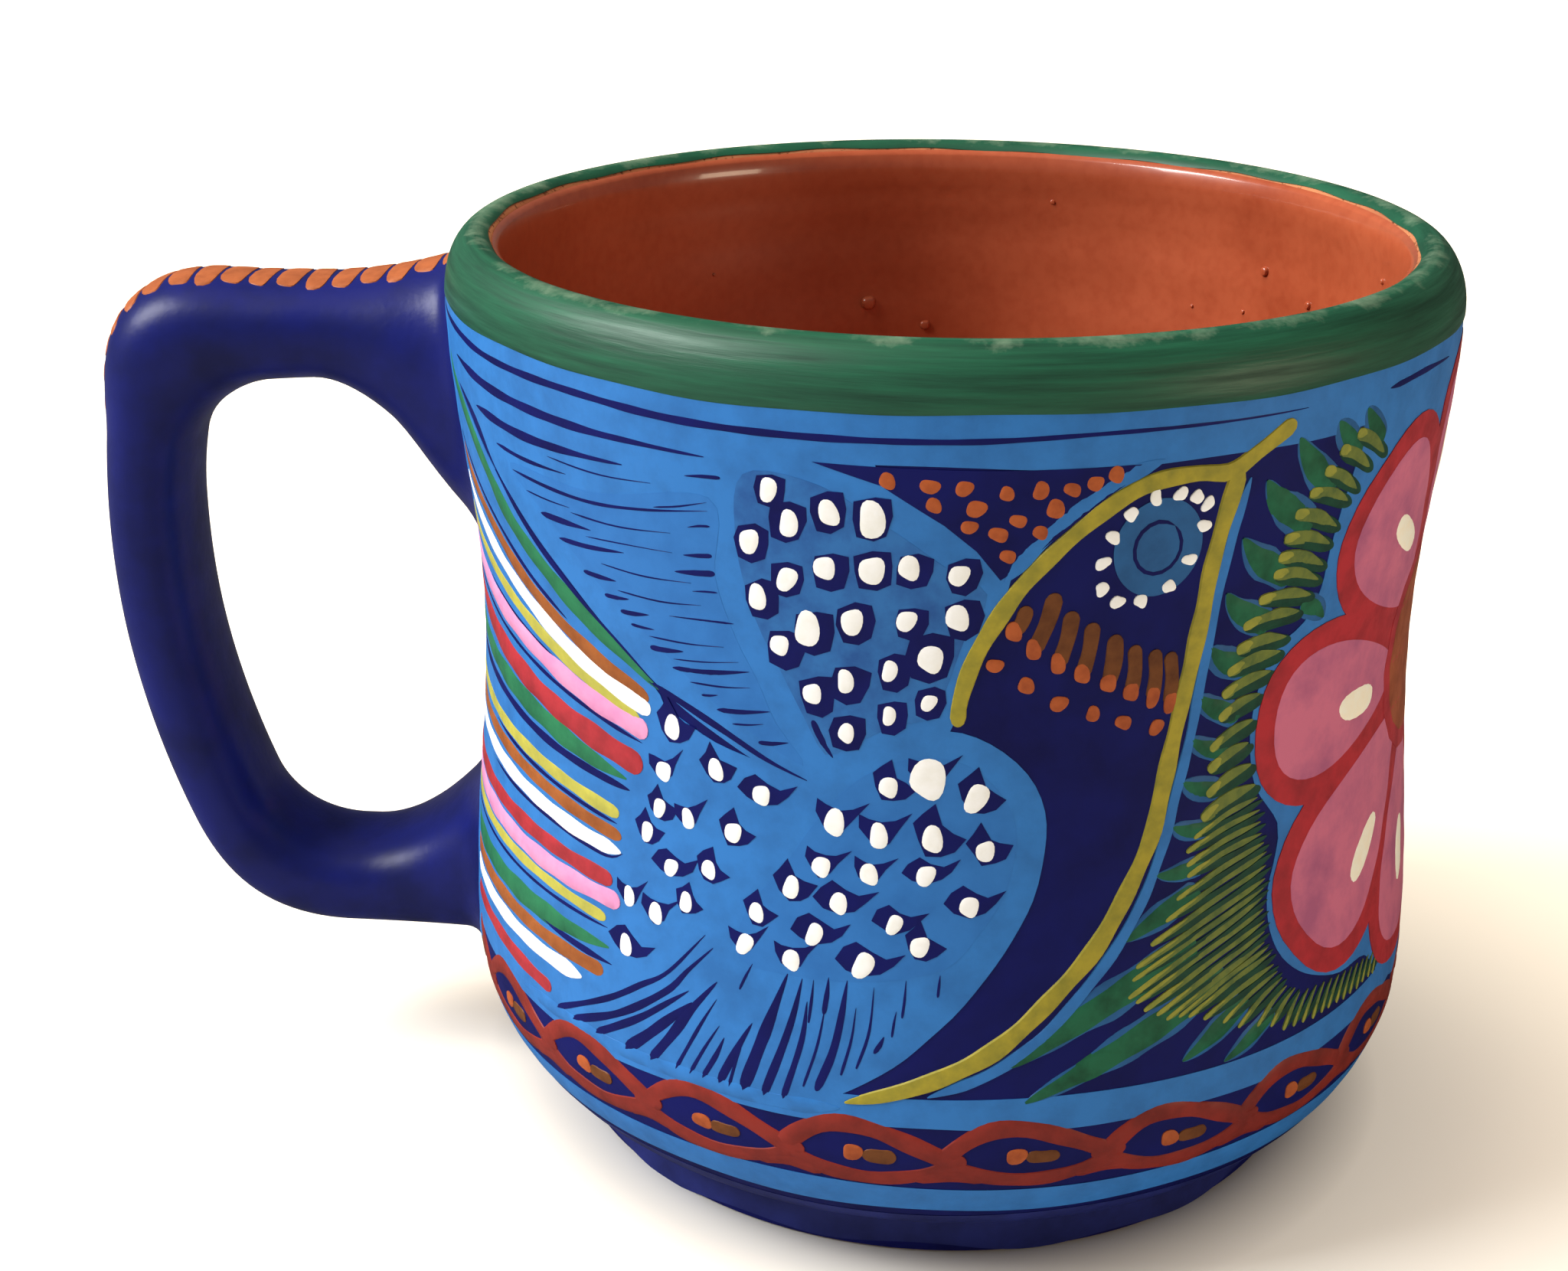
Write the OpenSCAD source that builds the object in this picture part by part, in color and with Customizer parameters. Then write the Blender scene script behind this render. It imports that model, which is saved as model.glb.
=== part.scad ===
// Painted clay mug: a thrown cup with a pulled strap handle.
// The cup stands on z = 0 with its axis on Z, and the handle points along -X.

/* [Cup] */
// Height from the foot to the top of the lip
height = 85.5; // [75:0.5:100]
// Widest outside diameter, at the belly
belly_d = 91.5; // [86:0.5:104]
// Height of the belly above the foot
belly_z = 17.2; // [15:0.2:22]
// How far the waist is drawn in from the belly
waist_in = 2.2; // [0.4:0.1:4]
// Height of the waist above the foot
waist_z = 52; // [40:1:56]
// How far the rim is drawn in from the belly, just under the lip
rim_in = 0.3; // [0:0.1:3]
// Thickness of the wall
wall = 4.2; // [3.4:0.1:6]
// Thickness of the floor, measured from the table
floor_t = 7; // [5:0.2:10]
// How far the inside corner of the floor reaches in from the wall
inside_corner_w = 15; // [8:0.5:24]
// How far the inside corner of the floor climbs the wall
inside_corner_h = 13; // [8:0.5:20]

/* [Foot and shoulder] */
// How far the turned foot is set in from the belly
foot_in = 9; // [6:0.2:14]
// Rounding of the foot's lower edge
foot_edge = 0.5; // [0.4:0.1:1.6]
// How far the shoulder's curve reaches in from the belly
shoulder_w = 13.2; // [11:0.2:18]
// How far the shoulder's curve drops below the belly
shoulder_h = 14; // [11:0.2:14.6]

/* [Lip] */
// How far the lip's outer rounding reaches in
lip_w = 2.6; // [1.6:0.1:3]
// How far the lip's outer rounding drops
lip_h = 5; // [3:0.2:7]
// How far the lip's inner rounding drops
lip_inner_h = 1.2; // [1:0.1:3]

/* [Handle path] */
// Height of the lip above the middle of the upper arm
upper_arm_drop = 10.5; // [9.5:0.1:16]
// Height of the middle of the lower arm above the foot
lower_arm_z = 17.4; // [15:0.1:24]
// Room for fingers between the belly and the grip
finger_gap = 27.2; // [22:0.2:36]
// Radius of the grip's outward bow
bow_r = 80; // [60:1:120]
// Height of the bow's furthest point above the middle of the two arms
bow_rise = 8; // [0:0.5:14]
// Bend radius at the upper corner
corner_r = 12.5; // [8:0.5:16]
// Bend radius at the heel
heel_r = 13.2; // [9:0.2:18]

/* [Handle section] */
// Width of the strap
strap_w = 14; // [10:0.5:20]
// Thickness of the two arms
arm_t = 9.4; // [7:0.1:12]
// Thickness of the grip
grip_t = 8.1; // [6:0.1:11]
// Extra thickness outside the upper corner
elbow = 2.9; // [0:0.1:5]
// Extra thickness inside the upper corner
armpit = 0.9; // [0:0.1:2]
// How far that thickness reaches along the strap from the middle of the corner
armpit_reach = 16; // [10:0.5:20]
// Extra thickness outside the heel
heel_swell = 0.4; // [0:0.1:1]
// Squareness of the section, where 2 is an ellipse
squareness = 2.4; // [2:0.1:4]

/* [Handle roots] */
// How far the web under the upper arm drops at the wall
web = 14.4; // [4:0.2:18]
// How far that web reaches out from the wall
web_reach = 13.5; // [8:0.5:15]
// How far the upper arm climbs at the wall
climb = 1.4; // [0:0.1:2]
// How far that climb reaches out from the wall
climb_reach = 18; // [8:0.5:22]
// How far the heel's web climbs at the wall
heel_web = 8.5; // [2:0.5:12]
// How far the heel's web reaches out from the wall
heel_web_reach = 12; // [6:0.5:14]
// Extra half width of both roots at the wall
root_spread = 3; // [1:0.25:5]

/* [Layers] */
// Thickness of the slip between a root and the wall
slip_t = 0.6; // [0.4:0.1:1.2]
// Thickness of the painted coats
coat_t = 0.3; // [0.2:0.05:0.6]
// Thickness of the glaze inside
glaze_t = 0.4; // [0.2:0.05:0.8]
// Bare edge left between the ground coat and a root
coat_clearance = 0.2; // [0.1:0.05:0.4]
// Height of the green band's lower edge above the upper root
band_gap = 0.7; // [0.6:0.1:2]
// Bare clay left between the table and the ground coat
bare_foot = 0.6; // [0.5:0.1:2]

/* [Hidden] */
$fn = 96;

belly_r = belly_d / 2;
waist_r = belly_r - waist_in;
rim_r = belly_r - rim_in;
foot_r = belly_r - foot_in;
lip_z = height - lip_h;
inner_lip_z = height - lip_inner_h;
shoulder_r = belly_r - shoulder_w;

// Steps along each curve of the outline
shoulder_steps = 12;
wall_steps = 10;
lip_steps = 8;
edge_steps = 4;

// Half a wave from 1 to 0, level at both ends
function fade(u) = (1 + cos(180 * min(max(u, 0), 1))) / 2;

// A curved fillet from 1 to 0 that ends level
function fillet(u) = pow(1 - min(max(u, 0), 1), 2);

// Outside radius of the wall between the belly and the lip
function wall_r(z) = z < waist_z
    ? waist_r + (belly_r - waist_r) * fade((z - belly_z) / (waist_z - belly_z))
    : rim_r + (waist_r - rim_r) * fade((z - waist_z) / (lip_z - waist_z));

// Outline pieces of the outside, each grown outwards by g
function foot_outline(g, from) = [[foot_r + g, from]];

function foot_edge_outline() = [for (i = [0:edge_steps])
    let (a = 90 * i / edge_steps)
    [foot_r - foot_edge + foot_edge * sin(a), foot_edge - foot_edge * cos(a)]];

function shoulder_outline(g) =
    let (start = asin((foot_r + g - shoulder_r) / (shoulder_w + g)))
    [for (i = [0:shoulder_steps])
        let (a = start + (90 - start) * i / shoulder_steps)
        [shoulder_r + (shoulder_w + g) * sin(a), belly_z - (shoulder_h + g) * cos(a)]];

function wall_outline(g, from, to) = [for (i = [1:wall_steps])
    let (z = from + (to - from) * i / wall_steps)
    [wall_r(z) + g, z]];

function lip_outline(g) = [for (i = [1:lip_steps])
    let (a = 90 * i / lip_steps)
    [rim_r - lip_w + (lip_w + g) * cos(a), lip_z + (lip_h + g) * sin(a)]];

function inner_lip_outline(g) = [for (i = [1:edge_steps])
    let (a = 90 + 90 * i / edge_steps)
    [rim_r - lip_w + (wall - lip_w + g) * cos(a), inner_lip_z + (lip_inner_h + g) * sin(a)]];

// Outline of the inside from the lip down to the axis, moved inwards by g
corner_top = floor_t + inside_corner_h;
corner_r_inside = wall_r(corner_top) - wall;
function inside_outline(g) = concat(
    [[rim_r - wall - g, inner_lip_z]],
    [for (i = [0:2 * wall_steps])
        let (z = lip_z + (corner_top - lip_z) * i / (2 * wall_steps))
        [wall_r(z) - wall - g, z]],
    [for (i = [1:shoulder_steps])
        let (a = 90 * i / shoulder_steps)
        [corner_r_inside - inside_corner_w + (inside_corner_w - g) * cos(a),
         corner_top - (inside_corner_h - g) * sin(a)]],
    [[0, floor_t + g]]);

// Outline of the whole outside wall, from the foot to the start of the lip
function wall_side(g, from) = concat(
    foot_outline(g, from),
    shoulder_outline(g),
    wall_outline(g, belly_z, waist_z),
    wall_outline(g, waist_z, lip_z));

function reverse(list) = [for (i = [len(list) - 1:-1:0]) list[i]];

// The cup as a solid without its hollow, grown outwards by g, for seating the roots
module cup_form(g) {
    rotate_extrude()
        polygon(concat([[0, 0]], wall_side(g, 0), lip_outline(g), [[0, height + g]]));
}

// Handle path: two level arms, a tight upper corner, a bowed grip and a round heel.
// Places on it are [distance from the axis, height].
upper_arm_z = height - upper_arm_drop;
upper_root_r = max(rim_r, wall_r(upper_arm_z)) + slip_t;
lower_root_r = belly_r + slip_t;
root_start = waist_r - wall;
grip_r = belly_r + finger_gap + grip_t / 2;
bow_z = (upper_arm_z + lower_arm_z) / 2 + bow_rise;
bow_centre = grip_r - bow_r;
corner_z = upper_arm_z - corner_r;
corner_x = bow_centre + sqrt(pow(bow_r - corner_r, 2) - pow(corner_z - bow_z, 2));
heel_z = lower_arm_z + heel_r;
heel_x = bow_centre + sqrt(pow(bow_r - heel_r, 2) - pow(bow_z - heel_z, 2));
corner_end = atan2(corner_z - bow_z, corner_x - bow_centre);
heel_start = atan2(heel_z - bow_z, heel_x - bow_centre);

// Rings along each stretch of the loft, and points round each ring
arm_rings = 12;
corner_rings = 10;
grip_rings = 10;
heel_rings = 8;
strap_sides = 20;

function strap_t(u) = grip_t + (arm_t - grip_t) * fade(u);

// Extra thickness inside the upper corner at a length along the strap from the corner's middle
corner_half = corner_r * (90 - corner_end) * PI / 360;
function armpit_at(d) = armpit * fade(d / armpit_reach);

// A station is [distance, height, outward angle, outer half, inner half, half width]
function upper_station(x) =
    let (d = x - upper_root_r)
    [x, upper_arm_z, 90,
     arm_t / 2 + climb * fillet(d / climb_reach),
     arm_t / 2 + web * fillet(d / web_reach) + armpit_at(corner_half + corner_x - x),
     strap_w / 2 + root_spread * fillet(d / web_reach)];

function lower_station(x) =
    let (d = x - lower_root_r)
    [x, lower_arm_z, -90,
     arm_t / 2,
     arm_t / 2 + heel_web * fillet(d / heel_web_reach),
     strap_w / 2 + root_spread * fillet(d / heel_web_reach)];

function bend_station(x, z, r, a, t, outside, inside) =
    [x + r * cos(a), z + r * sin(a), a, t / 2 + outside, t / 2 + inside, strap_w / 2];

stations = concat(
    [for (i = [0:arm_rings]) upper_station(root_start + (corner_x - root_start) * i / arm_rings)],
    [for (i = [1:corner_rings])
        let (u = i / corner_rings)
        bend_station(corner_x, corner_z, corner_r, 90 + (corner_end - 90) * u, strap_t(u),
                     elbow * pow(sin(180 * u), 2), armpit_at(corner_half * abs(2 * u - 1)))],
    [for (i = [1:grip_rings])
        let (u = i / grip_rings, a = corner_end + (heel_start - corner_end) * u)
        bend_station(bow_centre, bow_z, bow_r, a, grip_t,
                     0, armpit_at(corner_half + bow_r * (corner_end - a) * PI / 180))],
    [for (i = [1:heel_rings])
        let (u = i / heel_rings, swell = heel_swell * pow(sin(180 * u), 2))
        bend_station(heel_x, heel_z, heel_r, heel_start + (-90 - heel_start) * u, strap_t(1 - u),
                     swell, 0)],
    [for (i = [1:arm_rings]) lower_station(heel_x + (root_start - heel_x) * i / arm_rings)]);

// Corner k of a rounded section with half sizes of 1, as [across the thickness, across the width]
function rounded(c) = sign(c) * pow(abs(c), 2 / squareness);
function strap_corner(k) = [rounded(cos(360 * k / strap_sides)), rounded(sin(360 * k / strap_sides))];

// Place of corner k of a station
function strap_point(st, k) =
    let (c = strap_corner(k), m = (st[3] - st[4]) / 2 + (st[3] + st[4]) / 2 * c[0])
    [-st[0] - m * cos(st[2]), st[5] * c[1], st[1] + m * sin(st[2])];

// The pulled strap, swept along the whole path and running into the wall at both ends
module strap_loft() {
    n = strap_sides;
    last = len(stations) - 1;
    polyhedron(
        points = [for (st = stations) for (k = [0:n - 1]) strap_point(st, k)],
        faces = concat(
            [[for (k = [0:n - 1]) k]],
            [for (i = [0:last - 1]) for (k = [0:n - 1]) [i * n + k, (i + 1) * n + k, i * n + (k + 1) % n]],
            [for (i = [0:last - 1]) for (k = [0:n - 1])
                [i * n + (k + 1) % n, (i + 1) * n + k, (i + 1) * n + (k + 1) % n]],
            [[for (k = [n - 1:-1:0]) last * n + k]]),
        convexity = 4);
}

// The straight prism of a root inside its wall, with its section grown by g
module root_prism(st, g) {
    translate([-upper_root_r - lower_root_r, 0, 0])
        rotate([90, 0, 90])
            linear_extrude(upper_root_r + lower_root_r - root_start)
                polygon([for (k = [0:strap_sides - 1])
                    let (c = strap_corner(k), p = strap_point(st, k))
                    [p[1] + g * c[1], p[2] + g * sign(cos(st[2] - 90)) * c[0]]]);
}

upper_root = upper_station(root_start);
lower_root = lower_station(root_start);

// Slip squeezed between a root and the wall
module slip_layer(root) {
    intersection() {
        root_prism(root, 0);
        difference() {
            cup_form(slip_t);
            cup_form(0);
        }
    }
}

// Lower edge of the green band, just above the upper root
band_z = upper_arm_z + arm_t / 2 + climb + band_gap;

module cup_body() {
    color("sienna")
        rotate_extrude()
            polygon(concat(
                [[0, 0]],
                foot_edge_outline(),
                shoulder_outline(0),
                wall_outline(0, belly_z, waist_z),
                wall_outline(0, waist_z, lip_z),
                lip_outline(0),
                inner_lip_outline(0),
                inside_outline(0)));
}

module handle() {
    color("midnightblue")
        difference() {
            strap_loft();
            cup_form(slip_t);
        }
}

module upper_slip_joint() {
    color("chocolate") slip_layer(upper_root);
}

module lower_slip_joint() {
    color("chocolate") slip_layer(lower_root);
}

module glaze_lining() {
    color("brown")
        rotate_extrude()
            polygon(concat(inside_outline(0), reverse(inside_outline(glaze_t))));
}

module ground_coat() {
    color("royalblue")
        difference() {
            rotate_extrude()
                difference() {
                    polygon(concat(wall_side(coat_t, bare_foot), lip_outline(coat_t), reverse(lip_outline(0)),
                                   reverse(wall_side(0, bare_foot))));
                    translate([0, band_z]) square([2 * belly_r, height]);
                }
            root_prism(upper_root, coat_clearance);
            root_prism(lower_root, coat_clearance);
        }
}

module rim_coat() {
    color("seagreen")
        rotate_extrude()
            difference() {
                polygon(concat(
                    wall_outline(coat_t, waist_z, lip_z),
                    lip_outline(coat_t),
                    inner_lip_outline(coat_t),
                    reverse(inner_lip_outline(0)),
                    reverse(lip_outline(0)),
                    reverse(wall_outline(0, waist_z, lip_z))));
                square([2 * belly_r, band_z]);
            }
}

cup_body();
handle();
upper_slip_joint();
lower_slip_joint();
glaze_lining();
ground_coat();
rim_coat();
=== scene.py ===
import math
import random

import bpy
from mathutils import Matrix, Vector, geometry, noise


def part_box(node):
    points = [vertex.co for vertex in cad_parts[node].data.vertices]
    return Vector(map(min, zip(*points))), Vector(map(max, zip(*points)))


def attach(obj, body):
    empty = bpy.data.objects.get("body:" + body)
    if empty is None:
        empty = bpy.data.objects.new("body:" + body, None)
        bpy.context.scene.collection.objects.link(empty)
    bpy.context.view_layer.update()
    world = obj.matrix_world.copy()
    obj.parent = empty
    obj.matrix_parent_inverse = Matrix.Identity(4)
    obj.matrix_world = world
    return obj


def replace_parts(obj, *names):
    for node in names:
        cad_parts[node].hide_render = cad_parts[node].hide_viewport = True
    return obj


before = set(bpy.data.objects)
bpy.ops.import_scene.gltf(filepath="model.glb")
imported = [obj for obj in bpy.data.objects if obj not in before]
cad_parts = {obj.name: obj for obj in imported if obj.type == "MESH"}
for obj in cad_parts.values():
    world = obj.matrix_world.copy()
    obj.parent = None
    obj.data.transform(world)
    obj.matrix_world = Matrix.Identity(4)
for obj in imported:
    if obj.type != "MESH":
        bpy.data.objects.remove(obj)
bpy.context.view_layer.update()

# Cup body: one piece of red earthenware, thrown on a wheel and cut off with a wire.
# Only its bare base shows, a slightly hollow disc with the arcs that the wire left.
# The cup's sizes are in millimetres, as in the part's source, and turn to metres at the end.
MM = 0.001
cup_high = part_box("cup_body")[1]
height = cup_high.z / MM
belly_r = cup_high.x / MM
belly_z = 17.2
waist_r = belly_r - 2.2
waist_z = 52.0
rim_r = belly_r - 0.3
lip_w = 2.6
lip_h = 5.0
lip_z = height - lip_h
inner_lip_h = 1.2
foot_r = belly_r - 9.0
foot_edge = 0.5
shoulder_w = 13.2
shoulder_h = 14.0
wall = 4.2
floor_t = 7.0
corner_w = 15.0
corner_h = 13.0


def fade(u):
    return (1 + math.cos(math.pi * min(max(u, 0), 1))) / 2


def ellipse_side(u):
    return math.sqrt(max(0.0, 1 - u * u))


def wall_r(z):
    shoulder = belly_r - shoulder_w + shoulder_w * ellipse_side(min(1, (belly_z - z) / shoulder_h))
    if z < belly_z:
        return max(foot_r, shoulder)
    if z < waist_z:
        return waist_r + (belly_r - waist_r) * fade((z - belly_z) / (waist_z - belly_z))
    if z < lip_z:
        return rim_r + (waist_r - rim_r) * fade((z - waist_z) / (lip_z - waist_z))
    return rim_r - lip_w + lip_w * ellipse_side((z - lip_z) / lip_h)


# Levels up the wall, close together at the crease over the foot, so that every layer bends there alike
def wall_levels(low, high):
    crease = [0.2 * i for i in range(1, 61) if 0.2 * i > low + 0.05]
    return [low] + crease + [12 + (high - 12) * i / 90 for i in range(1, 91)]


# The hand leaves the turned form a little out of round and leaning to the handle, with faint rings.
def thrown(deg, z):
    turn = math.radians(deg)
    lean = 0.5 * z / height - 0.15
    out_of_round = 0.06 * math.sin(2 * turn + 0.7) + 0.04 * math.sin(3 * turn + z / 17)
    throwing_rings = 0.02 * math.sin(1.3 * z + turn)
    return out_of_round + throwing_rings - lean * math.sin(turn)


# A place from its turn to the right of the front, its distance from the axis and its height
def on_cup(deg, r, z):
    turn = math.radians(deg)
    r += thrown(deg, z) * min(1, r / waist_r)
    return Vector((r * math.sin(turn), -r * math.cos(turn), z)) * MM


# The inside of the wall and its rounded corner with the floor, from below the lip downwards
def inside_line(grow):
    line = []
    top = lip_z + 2.2
    for i in range(41):
        z = top - (top - floor_t - corner_h) * i / 40
        line.append((min(wall_r(z), rim_r) - wall - grow, z))
    corner_r = line[-1][0] + grow - corner_w
    for i in range(1, 19):
        a = math.radians(5 * i)
        r = corner_r + (corner_w - grow) * math.cos(a)
        line.append((r, floor_t + corner_h - (corner_h - grow) * math.sin(a)))
    return line


def new_piece(name, points, faces, slot, finish):
    mesh = bpy.data.meshes.new(name)
    mesh.from_pydata(points, [], faces)
    mesh.validate()
    mesh.polygons.foreach_set("use_smooth", [True] * len(mesh.polygons))
    mesh.set_sharp_from_angle(angle=math.radians(40))
    mesh.materials.append(finish)
    piece = bpy.data.objects.new(name, mesh)
    bpy.context.collection.objects.link(piece)
    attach(piece, "root")
    return piece


# Points turned round the axis. The line may differ at each angle, and closes on itself or on the axis.
def lathe(line_at, sides=240, loop=False):
    points = []
    faces = []
    for k in range(sides):
        for r, z in line_at(360 * k / sides):
            points.append(on_cup(360 * k / sides, r, z))
    rows = len(points) // sides
    for k in range(sides):
        here = k * rows
        there = (k + 1) % sides * rows
        for i in range(rows if loop else rows - 1):
            j = (i + 1) % rows
            faces.append((here + i, there + i, there + j, here + j))
    if not loop:
        faces.append([k * rows for k in reversed(range(sides))])
        faces.append([k * rows + rows - 1 for k in range(sides)])
    return points, faces


def linear(code):
    parts = [int(code[i:i + 2], 16) / 255 for i in (1, 3, 5)]
    return [c / 12.92 if c < 0.04045 else ((c + 0.055) / 1.055) ** 2.4 for c in parts] + [1]


def add(material, kind, inputs, **settings):
    made = material.node_tree.nodes.new(kind)
    for name, value in settings.items():
        setattr(made, name, value)
    for name, value in inputs.items():
        if isinstance(value, bpy.types.NodeSocket):
            material.node_tree.links.new(value, made.inputs[name])
        else:
            made.inputs[name].default_value = value
    return made


def new_material(name):
    material = bpy.data.materials.new(name)
    material.use_nodes = True
    material.node_tree.nodes.clear()
    return material


def per_mm(size):
    return 1 / (size * MM)


def own_place(material):
    return add(material, "ShaderNodeTexCoord", {}).outputs["Object"]


# A noise with a grain of so many millimetres
def clouds(material, place, size, detail, rough=0.5):
    made = add(material, "ShaderNodeTexNoise", {
        "Vector": place, "Scale": per_mm(size), "Detail": detail, "Roughness": rough})
    return made.outputs["Fac"]


# Two colours and the levels of a noise at which they stand
def ramp(material, level, low, low_colour, high, high_colour):
    made = add(material, "ShaderNodeValToRGB", {"Fac": level})
    ends = made.color_ramp.elements
    ends[0].position = low
    ends[0].color = linear(low_colour)
    ends[1].position = high
    ends[1].color = linear(high_colour)
    return made.outputs["Color"]


# A value carried from one range to another and held at the ends
def remap(material, value, low, high, to_low=0.0, to_high=1.0):
    made = add(material, "ShaderNodeMapRange", {
        "Value": value, "From Min": low, "From Max": high, "To Min": to_low, "To Max": to_high})
    return made.outputs["Result"]


def arithmetic(material, operation, *values):
    made = add(material, "ShaderNodeMath", dict(enumerate(values)), operation=operation)
    return made.outputs["Value"]


def blend(material, share, one, two, way="MIX"):
    made = add(material, "ShaderNodeMixRGB", {"Fac": share, "Color1": one, "Color2": two}, blend_type=way)
    return made.outputs["Color"]


# Fine relief from a noise, so many millimetres deep
def relief(material, level, strength, depth):
    made = add(material, "ShaderNodeBump", {"Height": level, "Strength": strength, "Distance": depth * MM})
    return made.outputs["Normal"]


def surface(material, inputs):
    shader = add(material, "ShaderNodeBsdfPrincipled", inputs)
    add(material, "ShaderNodeOutputMaterial", {"Surface": shader.outputs["BSDF"]})


# Fired red earthenware: dry and chalky, cloudy from orange to brown, with dark grit of half a millimetre.
red_clay = new_material("red_earthenware")
place = own_place(red_clay)
grit = clouds(red_clay, place, 0.6, 2)
tone = ramp(red_clay, clouds(red_clay, place, 14, 4), 0.3, "#A5603F", 0.7, "#C68459")
speck = ramp(red_clay, grit, 0.3, "#9A8A80", 0.42, "#FFFFFF")
surface(red_clay, {
    "Base Color": blend(red_clay, 1, tone, speck, "MULTIPLY"), "Roughness": 0.85,
    "Normal": relief(red_clay, grit, 0.6, 0.08)})


# The base is a little hollow, and the wire's arcs on it are struck about a point beside it.
base_hollow = 0.35
arc_pitch = 1.4
arc_h = 0.06
arc_x = -62
arc_y = -20


def base_height(deg, r):
    turn = math.radians(deg)
    reach = math.hypot(r * math.sin(turn) - arc_x, -r * math.cos(turn) - arc_y)
    hollow = base_hollow * fade(r / (foot_r - 3))
    arcs = arc_h * (1 + math.sin(2 * math.pi * reach / arc_pitch)) * fade((r - foot_r + 4) / 3)
    return hollow + arcs


def body_line(deg):
    line = [(0.2 + (foot_r - foot_edge - 0.2) * i / 90) for i in range(91)]
    line = [(r, base_height(deg, r)) for r in line]
    for i in range(1, 7):
        a = math.radians(15 * i)
        line.append((foot_r - foot_edge + foot_edge * math.sin(a), foot_edge - foot_edge * math.cos(a)))
    for z in wall_levels(foot_edge, lip_z + lip_h * 0.9)[1:]:
        line.append((wall_r(z), z))
    for i in range(1, 10):
        a = math.radians(26 + 16 * i)
        side = lip_w if a < math.pi / 2 else wall - lip_w
        drop = lip_h if a < math.pi / 2 else inner_lip_h
        line.append((rim_r - lip_w + side * math.cos(a), height - drop + drop * math.sin(a)))
    return line + inside_line(0) + [(0.2, floor_t)]


points, faces = lathe(body_line, 180)
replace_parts(new_piece("cup_body_thrown", points, faces, "red_clay", red_clay), "cup_body")


# Slip joints: liquid clay that sticks each root of the handle to the scored wall.
# The same clay as the cup, smeared on with a finger, and hidden under the paint.
slip_clay = red_clay.copy()
slip_clay.name = "dried_slip"
for joint in ("upper_slip_joint", "lower_slip_joint"):
    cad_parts[joint].data.materials.clear()
    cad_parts[joint].data.materials.append(slip_clay)


# Handle: a strap of clay pulled by hand, bent into a squared loop and pressed on with webbed roots.
# It is painted dark blue all over, and the paint runs in a small fillet on to the wall.
coat_t = 0.3
slip_t = 0.6
strap_w = 14.0
arm_t = 9.4
grip_t = 8.1
elbow = 2.9
armpit = 0.9
armpit_reach = 16.0
heel_swell = 0.4
squareness = 2.4
web = 14.4
web_reach = 13.5
climb = 2.4
climb_reach = 14.0
heel_web = 8.5
heel_web_reach = 12.0
web_toe = 1.5
toe_s = 2.8
toe_reach = 4.0
root_spread = 3.0
root_fillet = 1.8
upper_arm_z = height - 10.5
lower_arm_z = 17.4
corner_r = 12.5
heel_r = 13.2
bow_r = 80.0
bow_rise = 8.0
finger_gap = 27.2
bow_x = belly_r + finger_gap + grip_t / 2 - bow_r
bow_z = (upper_arm_z + lower_arm_z) / 2 + bow_rise
corner_z = upper_arm_z - corner_r
corner_x = bow_x + math.sqrt((bow_r - corner_r) ** 2 - (corner_z - bow_z) ** 2)
heel_z = lower_arm_z + heel_r
heel_x = bow_x + math.sqrt((bow_r - heel_r) ** 2 - (bow_z - heel_z) ** 2)
corner_end = math.atan2(corner_z - bow_z, corner_x - bow_x)
heel_start = math.atan2(heel_z - bow_z, heel_x - bow_x)
upper_root_r = rim_r + slip_t
lower_root_r = belly_r + slip_t

# Lengths of the five stretches of the strap, from the upper root to the lower one
upper_end = corner_x - upper_root_r
corner_stop = upper_end + corner_r * (math.pi / 2 - corner_end)
bow_stop = corner_stop + bow_r * (corner_end - heel_start)
heel_stop = bow_stop + heel_r * (heel_start + math.pi / 2)
strap_length = heel_stop + heel_x - lower_root_r


def fillet(u):
    return (1 - min(max(u, 0), 1)) ** 2


# At a length along the strap: distance, height, outward angle, outer half, inner half, half width
def strap(s):
    half = strap_w / 2
    fill = armpit * fade(abs(s - (upper_end + corner_stop) / 2) / armpit_reach)
    if s < upper_end:
        return (upper_root_r + s, upper_arm_z, math.pi / 2, arm_t / 2 + climb * fillet(s / climb_reach),
                arm_t / 2 + web * fillet(s / web_reach) + web_toe * fade(abs(s - toe_s) / toe_reach) + fill,
                half + root_spread * fillet(s / web_reach))
    if s < corner_stop:
        u = (s - upper_end) / (corner_stop - upper_end)
        a = math.pi / 2 + (corner_end - math.pi / 2) * u
        t = grip_t + (arm_t - grip_t) * fade(u)
        return (corner_x + corner_r * math.cos(a), corner_z + corner_r * math.sin(a), a,
                t / 2 + elbow * math.sin(math.pi * u) ** 2, t / 2 + fill, half)
    if s < bow_stop:
        a = corner_end - (s - corner_stop) / bow_r
        return (bow_x + bow_r * math.cos(a), bow_z + bow_r * math.sin(a), a,
                grip_t / 2, grip_t / 2 + fill, half)
    if s < heel_stop:
        u = (s - bow_stop) / (heel_stop - bow_stop)
        a = heel_start - (heel_start + math.pi / 2) * u
        t = grip_t + (arm_t - grip_t) * fade(1 - u)
        return (heel_x + heel_r * math.cos(a), heel_z + heel_r * math.sin(a), a,
                t / 2 + heel_swell * math.sin(math.pi * u) ** 2, t / 2, half)
    d = strap_length - s
    return (lower_root_r + d, lower_arm_z, -math.pi / 2, arm_t / 2,
            arm_t / 2 + heel_web * fillet(d / heel_web_reach),
            half + root_spread * fillet(d / heel_web_reach))


# A sine or cosine made squarer, as the strap's section is, and the way back
def rounded(c):
    return math.copysign(abs(c) ** (2 / squareness), c)


def rounded_back(c):
    return math.copysign(abs(c) ** (squareness / 2), c)


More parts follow.
